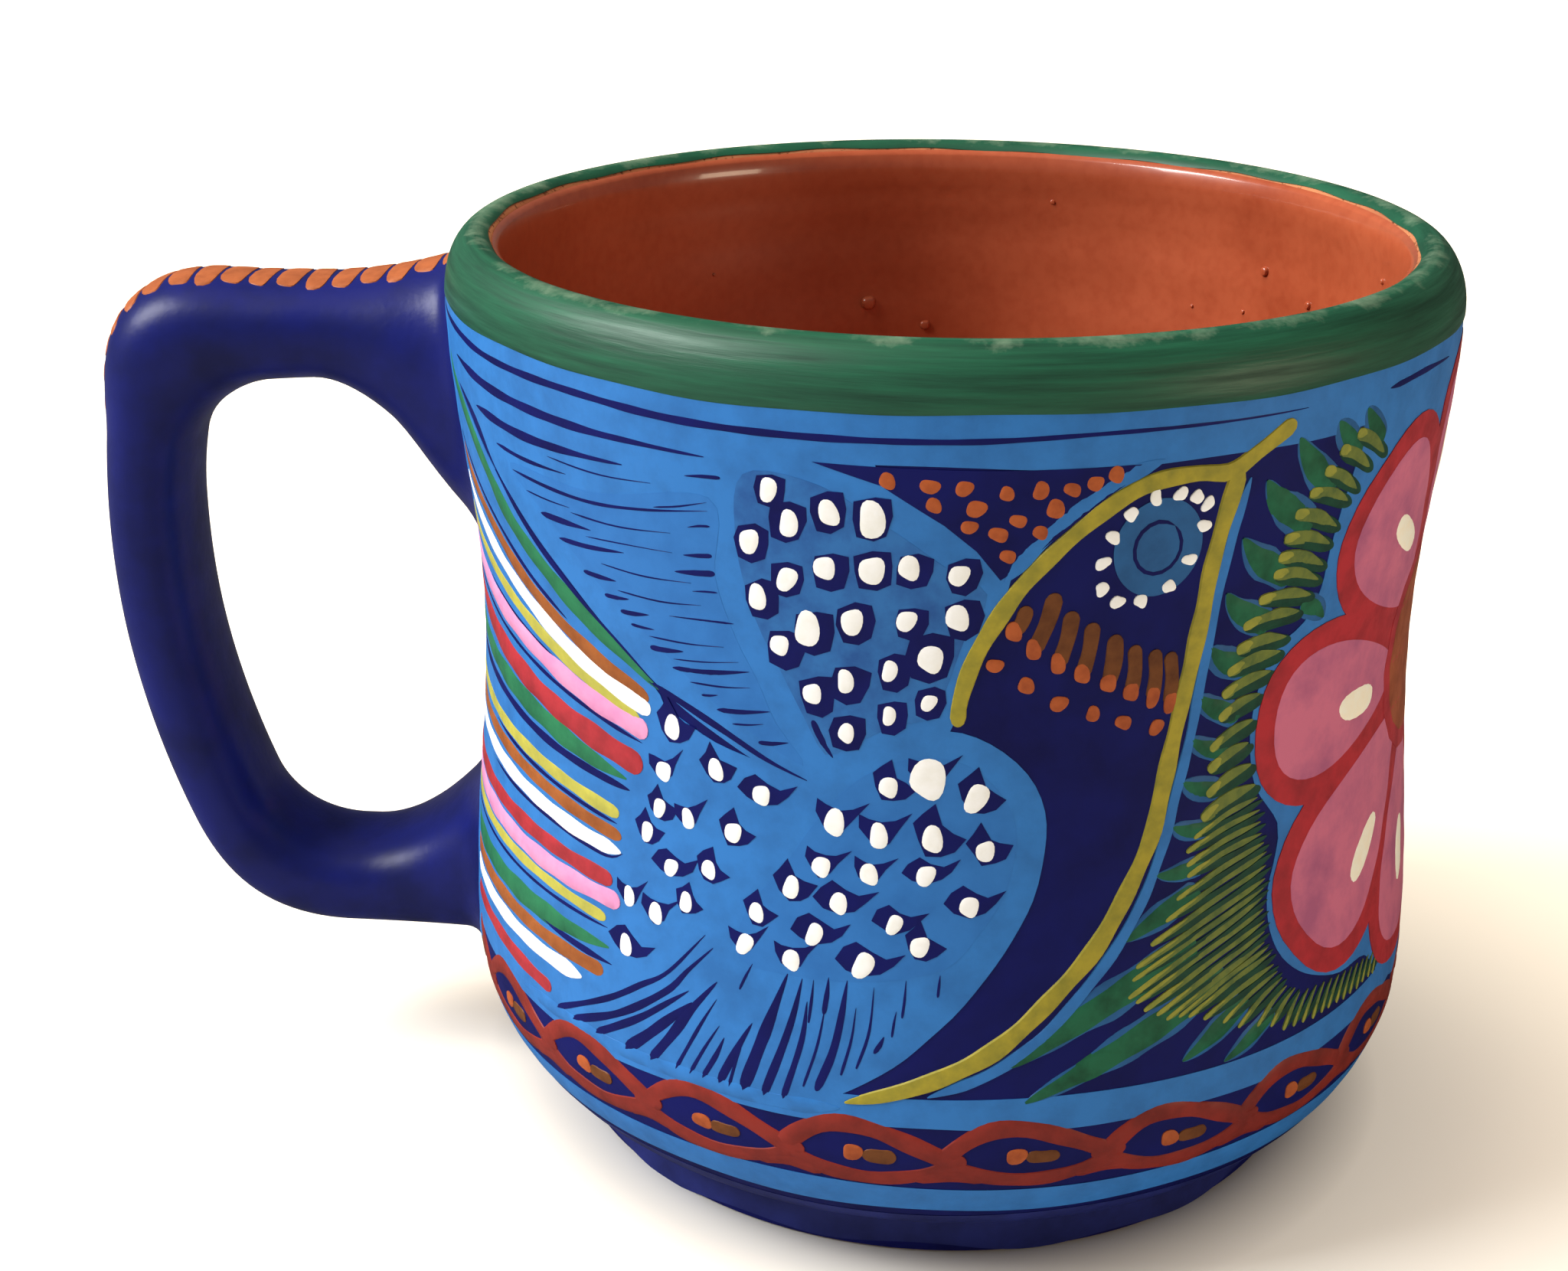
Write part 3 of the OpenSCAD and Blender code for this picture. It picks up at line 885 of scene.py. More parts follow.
fan_rays = [
    ((-24.6, 34), (-29.3, 29.4), (-33, 27.2), (-38, 24.4), (-46.6, 20.6), 0.7),
    ((-23.6, 33), (-26.7, 30.2), (-29.4, 27.6), (-36, 23.6), (-43.6, 20.5), 0.9),
    ((-26.4, 28.4), (-29.4, 26.4), (-33.4, 23.8), (-39.6, 20.5), 0.9),
    ((-26, 27.4), (-29, 25), (-32, 22.6), (-35, 20.4), 1.3),
    ((-23, 30), (-26.2, 26.6), (-28.4, 23.8), (-31.4, 20.4), 1.1),
    ((-23, 28.4), (-25, 25.4), (-28, 20.5), 0.45), ((-22.6, 26), (-24.4, 23.4), (-26.2, 20.5), 0.4),
    ((-22, 25), (-23, 23), (-24.6, 20.5), 0.6), ((-18.8, 27), (-20.4, 24.4), (-22.6, 20.5), 0.9),
    ((-20, 24.4), (-20.6, 23), (-21.4, 20.4), 0.4),
    ((-15, 32.2), (-16.3, 29), (-17.5, 26), (-19.8, 20.4), 1.3),
    ((-13.4, 32), (-14.3, 28.4), (-15.5, 25), (-17.4, 20.4), 0.9),
    ((-12.8, 30), (-13.3, 26.2), (-15.2, 20.5), 0.7), ((-12.2, 32), (-12.3, 30.6), (-12.6, 28), 0.3),
    ((-10.6, 32.4), (-10.7, 31), (-11, 29), 0.5), ((-10.8, 30), (-11.6, 26), (-13, 22), 0.3),
    ((-8.6, 32.4), (-9.2, 28.6), (-10, 25.4), (-11.6, 21.8), 0.9),
    ((-5.8, 32), (-6, 29), (-6.4, 27), (-7.4, 24.4), 0.3), ((-7.6, 30), (-8, 27), (-9, 23.6), 0.3),
    ((-4.6, 27.6), (-5, 26.8), (-5.6, 26), 0.55), ((-2.5, 32.8), (-2.6, 31), (-2.8, 29.4), 0.3),
    ((1, 33.4), (0.9, 32.4), (0.8, 31.4), 0.3), ((-3.4, 30), (-3.6, 29), (-3.8, 27.6), 0.25),
    ((-19, 32.4), (-19.8, 31), (-20.4, 29.8), 0.3),
]
for side in both_sides:
    for *line, width in wing_lines:
        length = span(line)
        stroke(painted, line, width, line_lift, length * 0.12, length * 0.7, side)
    for *line, width in fan_rays:
        stroke(painted, line, width, line_lift, span(line), width, side)
    stroke(painted, oval(21.2, eye_z, 2.5, 2.2, 13, 0.9), 0.4, line_lift, 1, 1, side)
new_piece("dark_line_work", *painted, "blue_ground", ground_blue)


# Border line: light blue, brushed along under the fan when its rays were dry.
# It cuts the lower ends of the rays straight.
border = [(-54, 20.1), (-48, 20.2), (-40, 20.1), (-30, 20.2), (-22, 20.2), (-14, 20.2), (-9, 20.5)]
border_lift = 0.092
painted = ([], [])
for side in both_sides:
    stroke(painted, border, 1.7, border_lift, 3, 3, side)
new_piece("border_line", *painted, "blue_ground", light_blue)


# Dark cells and the shoulder patch: places where the dark ground shows between the light blue.
# Each cell is an uneven, cornered blot that a white dot then sits on. A dot has a place and a size.
cell_lift = 0.08
wing_dots = [
    (-17, 74, 1), (-15, 71.4, 1.1), (-11, 72.6, 1.1), (-6.8, 72.3, 1.5), (-19.2, 69.5, 1.1),
    (-15.4, 66.7, 1.1), (-11.5, 68, 1.1), (-6.8, 68.1, 1.3), (-3.2, 68.5, 1.1), (1.6, 68, 1),
    (-18.6, 64.8, 1.1), (-13.4, 62.6, 1.5), (-8.8, 63.6, 1.2), (-3.4, 64, 1), (1.6, 64.4, 1.2),
    (-16.4, 60.9, 1), (-9.5, 58.4, 1), (-5, 59.6, 0.9), (-0.9, 60.8, 1.3), (-13, 57, 1), (-1, 57, 0.8),
    (-5, 55.7, 0.8), (-9.4, 53.9, 0.9),
]
breast_dots = [
    (-4.9, 49.5, 1), (-0.8, 50.4, 1.9), (4.2, 48.8, 1.3), (-10.5, 46, 1.2), (-5.8, 45.2, 1.1),
    (-0.2, 45.2, 1.2), (5.3, 44.2, 1), (-11.8, 42, 1), (-6.7, 41.8, 1), (-0.8, 42, 1), (-15, 39.8, 1),
    (-9.8, 39, 1), (3.8, 39.4, 1), (-3.9, 37.6, 0.9), (-18.8, 37, 0.9), (-12.3, 36, 1), (-1.2, 35.8, 1),
    (-20, 34, 1), (-14.7, 33.4, 1), (-7, 33.8, 1.2),
]
flank_dots = [
    (-29.5, 51.6, 1.1), (-24, 48.8, 1), (-30.7, 47.4, 1), (-18.6, 47.4, 1), (-31.2, 44, 0.9),
    (-27.4, 43.8, 0.9), (-21.8, 43.6, 1), (-32.8, 41.5, 0.9), (-29.4, 39, 0.9), (-24.6, 39.8, 0.9),
    (-35, 35, 0.9), (-31.2, 34.4, 1), (-27.3, 36.3, 0.9), (-35.2, 30.4, 1),
]
random.seed(47)

# Corners of each kind of cell, in millimetres from its dot
cell_kinds = {
    "round": [(-1.2, 1.2), (0.3, 1.7), (1.6, 1.5), (1.7, 0.2), (1.3, -1.3), (0.2, -1.8), (-1.1, -1.5),
              (-1.4, 0)],
    "fish": [(-2.2, 0.2), (-1.5, 1.2), (-0.6, 1.8), (0.5, 1.2), (1.6, 0.8), (3.1, 1.4), (2.3, 0.3),
             (1.4, -0.5), (0, -0.9), (-1.2, -0.5)],
    "tent": [(-0.2, 2.4), (-0.9, 1.5), (-1.5, 0.9), (-1, -0.3), (-0.3, -1.2), (0.7, -1.1), (1.5, -0.7),
             (2.2, 0.3), (1.2, 0.6), (0.5, 1)],
    "horn": [(-1.5, 1.4), (-0.8, 1.2), (0.2, 1), (1.1, 1.3), (2.3, 2), (1.4, 0.7), (0.8, -0.4), (0, -0.9),
             (-0.8, -0.4), (-1.5, 0.4)],
}
breast_kinds = ("tent horn tent horn horn tent tent horn horn fish "
                "tent fish fish fish tent fish tent horn horn fish")
flank_kinds = "tent tent horn fish tent horn tent tent fish tent horn horn tent fish"
wing_kinds = "round " * len(wing_dots)
patch = [
    (-12.6, 76.6), (-6, 75.1), (0, 72.1), (3.2, 70), (5.6, 67.6), (7, 68.4), (10.4, 70.8), (15.6, 74.2),
    (20, 76.6), (4, 76.5),
]
cells = []
for side in both_sides:
    for kinds, dots in ((wing_kinds, wing_dots), (breast_kinds, breast_dots), (flank_kinds, flank_dots)):
        for kind, (deg, z, size) in zip(kinds.split(), dots):
            tilt = random.uniform(-0.2, 0.15)
            grow = min(size, 1.2) * (0.85 if z > 63 else 1) * random.uniform(0.92, 1.06)
            shift = random.uniform(-0.35, 0.5) if kind == "round" else 0
            cell = []
            for a, b in cell_kinds[kind]:
                a = a * grow + shift + random.uniform(-0.12, 0.12)
                b = b * grow - shift / 2 + random.uniform(-0.12, 0.12)
                turned = a * math.cos(tilt) - b * math.sin(tilt)
                corner = (side(deg + turned / DEG_MM) * DEG_MM, z + a * math.sin(tilt) + b * math.cos(tilt))
                cell.append(Vector(corner))
            cells.append(cell)
    cells.append([Vector((side(deg) * DEG_MM, z)) for deg, z in patch])
new_piece("dark_cells", *film(cells, cell_lift), "blue_ground", ground_blue)


# White dots: thick drops of white dabbed with the end of the brush handle.
# They stand proud of the paint round them, and ring the eye in a row of smaller ticks.
white_paint = brushed_paint("white_paint", "#FFFFFF", "#F6F5F0", gloss=0.4, brush=2.0)
random.seed(53)
painted = ([], [])
eye_ticks = [
    (18, 72.6), (20.4, 73.8), (23, 73.9), (24.8, 73.5), (26.1, 72.8), (26, 71), (24.8, 68.3),
    (22.9, 66.2), (20, 65.2), (17.5, 65.3), (15.8, 66.5), (15.6, 68.7), (16.4, 70.8),
]
for side in both_sides:
    for deg, z, size in wing_dots + breast_dots + flank_dots:
        wall_dab(painted, side(deg), z, 0.76 * size, 1.0 * size, 0.14, random.uniform(-0.4, 0.1))
    for deg, z in eye_ticks:
        wall_dab(painted, side(deg), z, 0.52, 0.64, 0.15, math.atan2(z - 69.7, deg - 21.2) + 1.57, 0.15)
new_piece("white_dots", *painted, "blue_ground", white_paint)


# Tail feathers: long strokes that fan from behind the handle and end in a round heel at the bird's flank.
# Each colour is its own pot of paint, loaded heavily enough to leave a low ridge.
# A stroke has its places, its width, and how long it swells at the start and thins at the end.
feathers = {
    "green": ("#2C7A52", "#226546", [
        ((-80, 77.4), (-66, 71.4), (-56, 65.2), (-46.4, 61), (-36.4, 57), (-31, 54.6), 2.2, 8, 9),
        ((-88, 51.2), (-66, 48.8), (-51.4, 47.3), (-41.4, 46.1), (-35.8, 45.5), 2.5, 6, 9),
        ((-88, 29), (-66, 29), (-51, 29.1), (-37.6, 29.4), 2.5, 6, 9),
    ]),
    "brown": ("#A05C2C", "#884A22", [
        ((-80, 69), (-66, 64.4), (-51.4, 59), (-41.4, 56), (-32.6, 53.4), 1.7, 5, 1),
        ((-88, 43), (-66, 41.8), (-50.6, 41), (-36.5, 40), 1.5, 5, 1),
        ((-88, 27), (-66, 27), (-50.6, 26.9), (-38.5, 26.9), 1.7, 5, 1),
    ]),
    "olive": ("#BFB84E", "#A6A24A", [
        ((-82, 62.6), (-66, 58.8), (-51.4, 55.5), (-41.4, 53.1), (-34, 51.3), 1.5, 5, 1),
        ((-88, 45.2), (-66, 43.8), (-50.6, 43), (-37, 42), 1.5, 5, 0.8),
        ((-88, 32.4), (-66, 32.5), (-50.6, 32.4), (-38.4, 32), 1.2, 5, 0.8),
    ]),
    "white": ("#FFFFFF", "#F6F5F0", [
        ((-80, 65.6), (-66, 61.7), (-51.4, 57.3), (-41.4, 54.4), (-32.4, 52.4), 1.9, 5, 0.8),
        ((-88, 41), (-66, 39.9), (-50.6, 39.2), (-43.6, 38.8), (-36.5, 38.6), 1.75, 5, 2),
        ((-88, 25), (-66, 25.1), (-50.6, 25.1), (-42, 25.2), 1.85, 5, 2),
    ]),
    "red": ("#B0323A", "#922A31", [
        ((-88, 56), (-66, 51.8), (-51.4, 49.5), (-41.4, 48.2), (-33.6, 47.1), 2.7, 18, 1.3),
        ((-88, 36.4), (-66, 36.2), (-50.6, 36), (-37.6, 35.7), 1.8, 6, 0.9),
        ((-88, 22.6), (-66, 22.6), (-56, 22.3), (-47.8, 22), 1.7, 6, 1),
    ]),
    "pink": ("#E59AC4", "#D888B8", [
        ((-88, 60), (-66, 55.7), (-51.4, 53.3), (-41.4, 51.6), (-32.8, 50.4), 2.25, 5, 1),
        ((-88, 34.2), (-66, 34.2), (-50.6, 34), (-36.3, 34), 2.1, 5, 1.2),
    ]),
}
random.seed(61)
feather_lift = 0.07
for colour, (full, thin, lines) in feathers.items():
    painted = ([], [])
    feather_lift += 0.01
    for side in both_sides:
        for *line, width, start, end in lines:
            stroke(painted, line, width, feather_lift, start, end, side)
    pot = brushed_paint(colour + "_feather_paint", full, thin, gloss=0.42, brush=3.0)
    new_piece("tail_feathers_" + colour, *painted, "blue_ground", pot)
gaps = [
    ((-88, 58), (-66, 53.9), (-51.4, 51.8), (-44, 50.8), (-33.6, 49.3), 0.5),
    ((-80, 70.6), (-66, 66), (-54, 61.2), (-45, 58), 0.6),
    ((-66, 56.9), (-54, 54.7), (-46.4, 53.3), 0.35),
    ((-88, 49), (-66, 46.9), (-50.6, 45.5), (-35.4, 44.6), 1),
    ((-66, 42.9), (-48.8, 41.9), (-37.2, 41.1), 0.5),
    ((-66, 38.7), (-51, 38.3), (-43.6, 37.95), (-38.4, 37.8), (-36.2, 38.6), 0.45),
    ((-88, 31.4), (-66, 31.4), (-50.6, 31.3), (-38, 31.2), 0.4),
    ((-50, 28.3), (-44, 28.1), (-37.2, 27.9), 0.8),
]
gap_lift = 0.075
painted = ([], [])
for side in both_sides:
    for *line, width in gaps:
        stroke(painted, line, width, gap_lift, 4, 3, side)
new_piece("tail_feather_gaps", *painted, "blue_ground", ground_blue)


# Rust dots and throat bars: orange-brown dabs on the dark shoulder patch, and bars across the throat.
# Each bar was pulled down in one touch and ends in a rounder, brighter drop.
rust_paint = brushed_paint("rust_orange_paint", "#B55A2C", "#9A4824", gloss=0.45, brush=1.5)
brown_paint = brushed_paint("brown_paint", "#74431F", "#5E3419", gloss=0.48, brush=1.5)
rust_dots = [
    (1.8, 75.1), (3, 73.5), (2.4, 72), (5.8, 74.7), (9, 74.9), (12, 74.9), (14.2, 75.3), (16.2, 75.9),
    (10.5, 73.4), (7, 72.5), (5.2, 71.4), (9.2, 71.5), (6.2, 69.6), (-5.4, 75.5), (-1.4, 75.2),
    (-1, 73.7), (5.5, 60.3), (8.8, 58.5), (12.3, 56.8), (16, 55.7), (19.4, 54.7), (23.2, 53.9),
]
throat_bars = [
    ((8.4, 65.4), (7.2, 62.9)), ((11.2, 66.4), (9.3, 61.3)), ((13, 64.8), (11.9, 60)),
    ((15.2, 63.7), (14.5, 59)), ((17.7, 62.5), (17.4, 58)), ((19.9, 61.4), (20, 57)),
    ((22.2, 60.8), (22.5, 56.3)), ((24, 60.4), (24.6, 55.6)),
]


def halfway(a, b):
    return (a[0] + b[0]) / 2, (a[1] + b[1]) / 2


random.seed(71)
drops = ([], [])
bars = ([], [])
for side in both_sides:
    for deg, z in rust_dots:
        wide = random.uniform(0.6, 0.8)
        wall_dab(drops, side(deg), z, wide, random.uniform(0.55, 0.75), 0.14, -0.3, 0.1)
    for top, low in throat_bars:
        deg, z = halfway(top, low)
        stroke(bars, (top, (deg + 0.25, z), low), 1.55, 0.1, side=side)
        wall_dab(drops, side(low[0]), low[1] + 0.3, 0.66, 0.9, 0.14)
new_piece("rust_dots", *drops, "blue_ground", rust_paint)
new_piece("throat_bars", *bars, "blue_ground", brown_paint)


# Beak and back lines: two long olive-yellow strokes that draw the head, the beak and the bird's front.
# The paint is thick and a little streaky, with round ends where the brush was set down.
olive_paint = brushed_paint("olive_yellow_paint", "#AC9D32", "#8C8630", gloss=0.4, brush=2.0)
beak_lines = [
    ((2, 55), (2.1, 57), (3.2, 60.4), (5.2, 63.8), (7.8, 67.1), (11.5, 70.4), (15.7, 73.3), (19.8, 75),
     (24.6, 75.4), (28.4, 75.2), (31.4, 76.5), (35.6, 78.4), 1.6, 0.8, 0.8),
    ((29.4, 75.3), (28.5, 72), (27.6, 67.8), (27.2, 63), (26.6, 58.6), (25.6, 53.6), (24.6, 49),
     (23.4, 44.4), (21, 40.2), (17.4, 35.3), (12.6, 31), (7.3, 26.9), (2, 24.3), (-3.4, 22.4),
     (-8.6, 21.1), 1.8, 0.8, 5),
]
beak_lift = 0.17
random.seed(83)
painted = ([], [])
for side in both_sides:
    for *line, width, start, end in beak_lines:
        stroke(painted, line, width, beak_lift, start, end, side)
new_piece("beak_and_back_lines", *painted, "blue_ground", olive_paint)


# Leaves: green blades on the dark ground, with a thin blue edge, and a fringe of olive strokes over them.
# Each fringe stroke is set down yellow and turns greener as the brush runs out, over a dark green one.
leaf_green = brushed_paint("leaf_green_paint", "#22694A", "#184E36", gloss=0.45, brush=3.0)
blades = [
    ((36.4, 77), (38.4, 74.8), (42.4, 71.6), 2.4), ((32.8, 74), (35, 71.8), (40, 69), 2.6),
    ((30.8, 69.4), (33.4, 67.2), (38.4, 64.8), 2.5), ((29.8, 64.8), (31.8, 63), (36.4, 61), 2.3),
    ((28.8, 60.2), (30.6, 58.8), (34.6, 57.4), 2), ((28, 56), (29.8, 54.8), (33.6, 53.4), 1.8),
    ((27.4, 52.4), (29, 51.4), (32.6, 50.4), 1.5), ((26.8, 48.6), (28.6, 47.8), (32, 47.2), 1.5),
    ((25.8, 44.8), (27.6, 44.2), (31, 44), 1.4), ((24, 40.8), (26, 40.6), (30, 41), 1.4),
    ((20.6, 35.4), (24, 36.9), (29.4, 38.8), 2), ((8.4, 25), (15, 28.5), (21.6, 31.4), (29, 34.2), 2.8),
    ((10, 21.6), (18.4, 25), (26.8, 28.2), (33, 30.6), 2.8), ((27.6, 23.4), (31, 25), (36, 27.6), 2),
    ((33, 22.2), (35.6, 23.2), (40, 25.4), 1.5), ((46.2, 78), (47.6, 76.6), (50, 74.6), 1.9),
    ((41.8, 77.6), (43.4, 76.2), (46, 74.2), 1.9), ((44.8, 60.2), (43.4, 61.2), (40.6, 62.2), 1.6),
]
fringe = [
    ((45, 76.2), (50.5, 73.6)), ((42.4, 75.2), (48, 72.8)), ((40.4, 73.6), (46.4, 71.2)),
    ((38.8, 72), (45.2, 70.4)), ((37.2, 70.4), (44, 68.4)), ((36.4, 68.6), (43.4, 67)),
    ((36, 67), (43, 65.2)), ((35.6, 65.4), (42.6, 64)), ((34.2, 63.4), (41.8, 62.8)),
    ((32.6, 61.4), (40.4, 61.6)), ((32.2, 59.4), (39, 59.6)), ((31.4, 57.6), (38.4, 58.4)),
    ((31.2, 55.6), (37.4, 56.8)), ((30.8, 53.4), (36.2, 55)), ((30.2, 51), (35.6, 52.8)),
    ((29.8, 49), (35.2, 50.8)), ((29.8, 46.8), (35.8, 48.8)), ((29.4, 44.8), (36.6, 46.8)),
    ((27.8, 42.2), (37.4, 44.4)), ((27.6, 40), (37.8, 42.2)), ((25.4, 36.6), (38.6, 40.4)),
    ((21.8, 33), (38.4, 38)), ((20.8, 30.4), (38, 36.4)), ((23, 29), (38.4, 34.2)),
    ((25.4, 27.8), (38.4, 32.2)), ((28.2, 27.4), (39.4, 31)), ((30.2, 26.8), (39.8, 29.8)),
    ((32.8, 26), (40.4, 29)), ((34.6, 25.2), (41.2, 28.2)), ((37.4, 24.4), (42, 27.2)),
    ((39.6, 23.8), (43.4, 26.6)),
]
short_count = 18
long_stop = 26
short_w = 1.3
long_w = 0.66
leaf_edge_lift = 0.07
blade_lift = 0.085
shade_lift = 0.095
olive_lift = 0.115
head_lift = 0.13

# The long strokes stand close, so one more goes between each pair of them
longs = fringe[short_count - 1:long_stop]
between = [(halfway(one[0], two[0]), halfway(one[1], two[1])) for one, two in zip(longs, longs[1:])]
fringe[short_count:long_stop] = [each for pair in zip(between, longs[1:]) for each in pair]
fringe += [((41.8 + 1.6 * i, 22.8 - 0.06 * i), (44.2 + 1.5 * i, 26 - 0.14 * i)) for i in range(13)]
random.seed(97)
green = ([], [])
edges = ([], [])
shade = ([], [])
olive = ([], [])
heads = ([], [])
for side in both_sides:
    for *line, width in blades:
        length = span(line)
        stroke(edges, line, width + 0.9, leaf_edge_lift, 0.6 * length, 1, side)
        stroke(green, line, width + 0.3, blade_lift, 0.65 * length, 1, side)
    for i, (top, tip) in enumerate(fringe):
        full = short_w if i < short_count else long_w
        top = (top[0] + random.uniform(-0.2, 0.2), top[1] + random.uniform(-0.15, 0.15))
        deg, z = halfway(top, tip)
        middle = (deg, z + 0.4)
        head = (top[0] * 0.75 + middle[0] * 0.25, top[1] * 0.75 + middle[1] * 0.25 + 0.1)
        neck = (top[0] * 0.4 + middle[0] * 0.6, top[1] * 0.4 + middle[1] * 0.6 + 0.2)
        under = (top, (middle[0] + 0.8, middle[1] - 0.6), (tip[0] + 0.8, tip[1] - 0.4))
        stroke(shade, under, full * 1.2, shade_lift, 1.5, 1.5, side)
        width = full * random.uniform(0.92, 1.06)
        stroke(olive, (top, middle, tip), width, olive_lift, 0.5, 2.2, side)
        width = full * random.uniform(0.7, 0.85)
        stroke(heads, (top, head, neck), width, head_lift, 0.4, 1.6, side)
new_piece("leaf_edges", *edges, "blue_ground", eye_blue)
new_piece("leaf_blades", *green, "blue_ground", leaf_green)
fringe_dark = brushed_paint("dark_green_paint", "#1D4A38", "#173A30", gloss=0.45, brush=2.0)
new_piece("leaf_fringe_shades", *shade, "blue_ground", fringe_dark)
fringe_olive = brushed_paint("olive_fringe_paint", "#727E38", "#546836", gloss=0.42, brush=1.5)
new_piece("leaf_fringe", *olive, "blue_ground", fringe_olive)
fringe_yellow = brushed_paint("yellow_fringe_paint", "#9B9A3C", "#7F8838", gloss=0.42, brush=1.5)
new_piece("leaf_fringe_heads", *heads, "blue_ground", fringe_yellow)


# Flower: eight petals round a brown-orange heart, a fifth of the way round from the front.
# Red is laid first, pink over it while leaving a red edge, and a cream spot on each petal last.
flower_deg = 74.6
flower_z = 51.0
heart_r = 8.6
petal_base = 6.0
petal_edge = 2.2

# For each petal: direction in degrees, reach, half width, and the spot's distance, side step and lean
petals = [
    (179, 30.8, 10.1, 16.2, 1, 0), (221, 33.4, 11.6, 20.4, 2.4, 0), (262, 31.6, 11, 20, 0, 0),
    (306, 30, 10.4, 17, 0, 0), (351, 30, 10.4, 17, 0, 0), (37, 30, 10.6, 17, 0, 0),
    (84, 29, 10.4, 17, 0, 0), (131, 29.2, 11.5, 16.8, -0.7, 17),
]


# Places of a petal's outline on the unrolled wall: broad and blunt outside, narrow at the heart
def petal(direction, base, tip, half, flare):
    turn = math.radians(direction)
    line = []
    for k in range(44):
        a = 2 * math.pi * k / 44
        out = (base + tip) / 2 + (tip - base) / 2 * math.cos(a)
        wide = half * rounded(math.sin(a)) * (1.04 - flare + flare * math.cos(a))
        x = out * math.cos(turn) - wide * math.sin(turn)
        y = out * math.sin(turn) + wide * math.cos(turn)
        line.append(Vector((flower_deg * DEG_MM + x, flower_z + 0.97 * y)))
    return line


def heart_line(reach):
    line = []
    for k in range(16):
        a = k / 8 * math.pi
        line.append(Vector((flower_deg * DEG_MM + reach * math.cos(a), flower_z + reach * math.sin(a))))
    return line


petal_red = brushed_paint("petal_red_paint", "#B82A34", "#98232D", gloss=0.42, brush=3.0)
petal_pink = brushed_paint("petal_pink_paint", "#D2708E", "#AE5C82", gloss=0.42, brush=6.0)
heart_orange = brushed_paint("flower_heart_paint", "#A8552C", "#8A4224", gloss=0.45, brush=3.0)
cream_paint = brushed_paint("cream_paint", "#FFFBEA", "#FFF3DA", gloss=0.4, brush=1.5)
outer = []
inner = []
for d, tip, half, spot, off, lean in petals:
    outer.append(petal(d, petal_base, tip, half, 0.23))
    inner.append(petal(d, petal_base + 2.4, tip - petal_edge, half - 2.3, 0.33))
new_piece("petal_edges", *film(outer, 0.12), "blue_ground", petal_red)
new_piece("petal_faces", *film(inner, 0.135), "blue_ground", petal_pink)
new_piece("heart_edge", *film([heart_line(heart_r + 1.7)], 0.143), "blue_ground", petal_red)
new_piece("flower_heart", *film([heart_line(heart_r)], 0.15), "blue_ground", heart_orange)
random.seed(101)
painted = ([], [])
for d, tip, half, spot, off, lean in petals:
    turn = math.radians(d)
    x = spot * math.cos(turn) - off * math.sin(turn)
    y = spot * math.sin(turn) + off * math.cos(turn)
    wall_dab(painted, flower_deg + x / DEG_MM, flower_z + y, 3.6, 1.5, 0.2, turn + math.radians(lean), 0.05)
new_piece("petal_spots", *painted, "blue_ground", cream_paint)


# Chain border: linked loops of red-brown round the belly, each with an orange and brown mark in its eye.
# Each loop is three strokes of a soft round brush, which lap over the next loop's at the crossing.
chain_red = brushed_paint("chain_red_paint", "#8E2E25", "#762620", gloss=0.42, brush=3.0)
loops = 21
pitch = 360 / loops
chain_z = 16.2
chain_start = -6
random.seed(113)
chain = ([], [])
marks = ([], [])
smears = ([], [])
for k in range(loops):
    deg = chain_start + pitch * k
    half = pitch / 2
    level = chain_z + 0.2 * math.sin(2.1 * k)
    top = [(-half - 1.2, -0.6), (-half + 1.3, 1.4), (-4.8, 2.6), (-2.3, 2.9), (0.7, 2.5), (3.7, 1.6),
           (6.7, 0.5), (half + 0.8, -0.6)]
    low = [(-half - 2, 0.4), (-8.3, -0.8), (-5.3, -1.9), (-2.3, -2.4), (1.2, -2.5), (4.7, -2),
           (7.7, -1.1), (half + 1.6, 0.2)]
    foot = [(half - 3.8, -2.2), (half, -1.7), (half + 3.8, -2.2)]
    for line in (foot, top, low):
        width = random.uniform(1.8, 2) if line is top else random.uniform(1.6, 1.8)
        stroke(chain, [(deg + a, level + b) for a, b in line], width, 0.11 if line is top else 0.1)
    stroke(smears, [(deg - 0.6, level), (deg + 1.4, level - 0.1), (deg + 3, level)], 1.5, 0.08)
    wall_dab(marks, deg - 1.6, level + 0.1, 0.95, 0.75, 0.12)
new_piece("chain_border", *chain, "blue_ground", chain_red)
new_piece("chain_eye_marks", *marks, "blue_ground", rust_paint)
new_piece("chain_eye_smears", *smears, "blue_ground", brown_paint)


# Handle dabs: a row of orange ovals across the spine of the handle, from the upper root over the corner.
# Each is one touch of a loaded round brush, longer across the strap than along it.
handle_orange = brushed_paint("handle_orange_paint", "#B2643C", "#9A5432", gloss=0.42, brush=2.0)
dab_count = 17
dab_pitch = 2.6
dab_reach = 3.8
random.seed(127)
painted = ([], [])
step = 0.05
walked = 0.9
s = 0.0
dabs = 0
while dabs < dab_count:
    along = (strap_point(s + step, 0) - strap_point(s, 0)).length / MM / step
    s += step
    walked += along * step
    if walked < dab_pitch:
        continue
    walked = 0.0
    dabs += 1

    def on_strap(a, b, lift, s=s, along=along):
        half = strap(s)[5]
        return strap_point(s - a / along, math.asin(rounded_back(b / half)), lift)

    reach = dab_reach * random.uniform(0.94, 1.06)
    dab(painted, on_strap, random.uniform(1.1, 1.22), reach, 0.1, random.uniform(-0.05, 0.05), blunt=3.4)
new_piece("handle_dabs", *painted, "painted_handle", handle_orange)
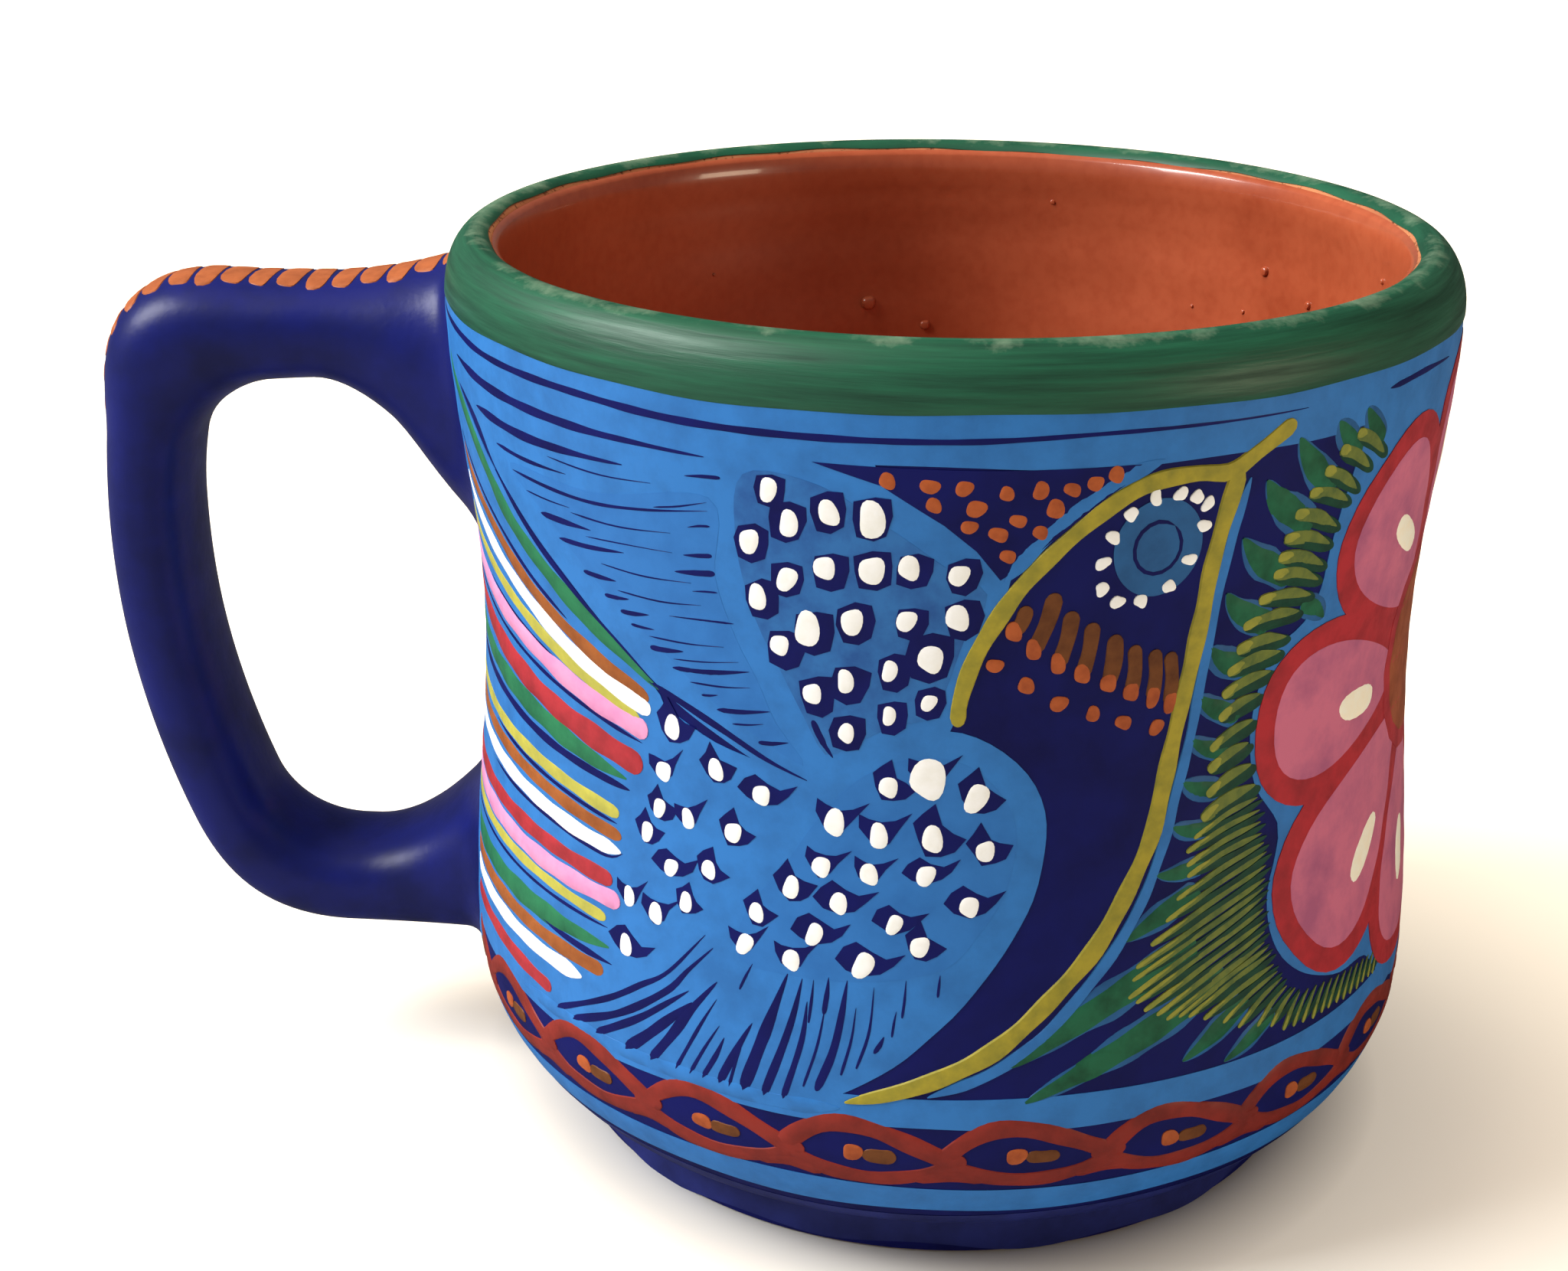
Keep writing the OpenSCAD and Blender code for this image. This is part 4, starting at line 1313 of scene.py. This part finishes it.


# Table: a plain pale painted surface, a stand for the picture and no part of the cup. For the camera it
# glows with a painted warm light, nil at the foot and up to white further out, which leaves a painted
# shade round the foot over the cup's own soft shadow. It is dull where paint mirrors it.
table_white = new_material("pale_table_with_painted_glow")
path = add(table_white, "ShaderNodeLightPath", {})
seen = arithmetic(table_white, "MAXIMUM", path.outputs["Is Camera Ray"], path.outputs["Is Transmission Ray"])
reach = add(table_white, "ShaderNodeVectorMath", {0: own_place(table_white)}, operation="LENGTH")
reach = reach.outputs["Value"]
# Painted light: the glow is nil by the foot and grows outwards, so the ground there stays in painted shade
near = remap(table_white, reach, 37 * MM, 46 * MM, 0.0, 0.42)
far = remap(table_white, reach, 45 * MM, 95 * MM, 0.0, 0.33)
horizon = remap(table_white, reach, 0.3, 1.5, 0.0, 0.5)
clear = arithmetic(table_white, "ADD", arithmetic(table_white, "ADD", near, far), horizon)
dull = add(table_white, "ShaderNodeMix", {
    0: path.outputs["Is Glossy Ray"], 6: linear("#E4E2DC"), 7: linear("#5A5A5A")}, data_type="RGBA")
surface(table_white, {
    # The warm emission colour is painted warm light on the table
    "Base Color": dull.outputs[2], "Roughness": 0.8, "Emission Color": linear("#FFEDD4"),
    "Emission Strength": arithmetic(table_white, "MULTIPLY", seen, clear)})
bpy.ops.mesh.primitive_plane_add(size=8)
table = bpy.context.object
table.name = "table"
table.data.materials.append(table_white)


# Light: a broad window at the left, a warm ceiling hidden from reflections, a weak warm fill low at the
# right, and a white room. The window lights the handle's edge and leaves the cup's right in soft shade.
cup_middle = Vector((0, 0, 0.04))


def lamp(name, place, size, watts, colour):
    data = bpy.data.lights.new(name, "AREA")
    data.size = size
    data.energy = watts
    data.color = linear(colour)[:3]
    made = bpy.data.objects.new(name, data)
    made.location = place
    made.rotation_euler = (cup_middle - Vector(place)).to_track_quat("-Z", "Y").to_euler()
    bpy.context.collection.objects.link(made)
    return made


lamp("window", (-1.55, -0.34, 1.35), 0.9, 50, "#FFFFFF")
ceiling = lamp("ceiling", (-0.55, 0.2, 1.3), 1.0, 17, "#FFF1DA")
ceiling.visible_glossy = False
lamp("warm_fill", (1.1, -0.5, 0.16), 0.4, 4, "#FFE6C4")
room = bpy.data.worlds.new("white_room")
room.use_nodes = True
room.node_tree.nodes.clear()
path = add(room, "ShaderNodeLightPath", {})
seen = arithmetic(room, "MULTIPLY_ADD", path.outputs["Is Camera Ray"], 0.83, 0.17)
seen = arithmetic(room, "MULTIPLY_ADD", path.outputs["Is Glossy Ray"], -0.07, seen)
glow = add(room, "ShaderNodeBackground", {"Color": (1, 1, 1, 1), "Strength": seen})
add(room, "ShaderNodeOutputWorld", {"Surface": glow.outputs["Background"]})
bpy.context.scene.world = room
bpy.context.scene.view_settings.view_transform = "Standard"


# Camera: the photograph's view, from a little above the rim, with the handle at the left.
# Its turn, its place in metres and its lens were solved on the photograph's outline.
yaw = math.radians(-4.264)
pitch_down = math.radians(21.964)
roll = math.radians(0.109)
camera_place = (0, -0.20615, 0.12786)
ahead = Vector((math.sin(yaw) * math.cos(pitch_down), math.cos(yaw) * math.cos(pitch_down),
                -math.sin(pitch_down)))
right = Vector((math.cos(yaw), -math.sin(yaw), 0))
up = right.cross(ahead)
right, up = right * math.cos(roll) + up * math.sin(roll), up * math.cos(roll) - right * math.sin(roll)
camera = bpy.data.objects.new("camera", bpy.data.cameras.new("camera"))
camera.data.sensor_width = 36
camera.data.sensor_fit = "HORIZONTAL"
camera.data.lens = 52.02
camera.data.clip_start = 0.01
turned = Matrix((right, up, -ahead)).transposed().to_4x4()
camera.matrix_world = Matrix.Translation(camera_place) @ turned
bpy.context.collection.objects.link(camera)
bpy.context.scene.camera = camera
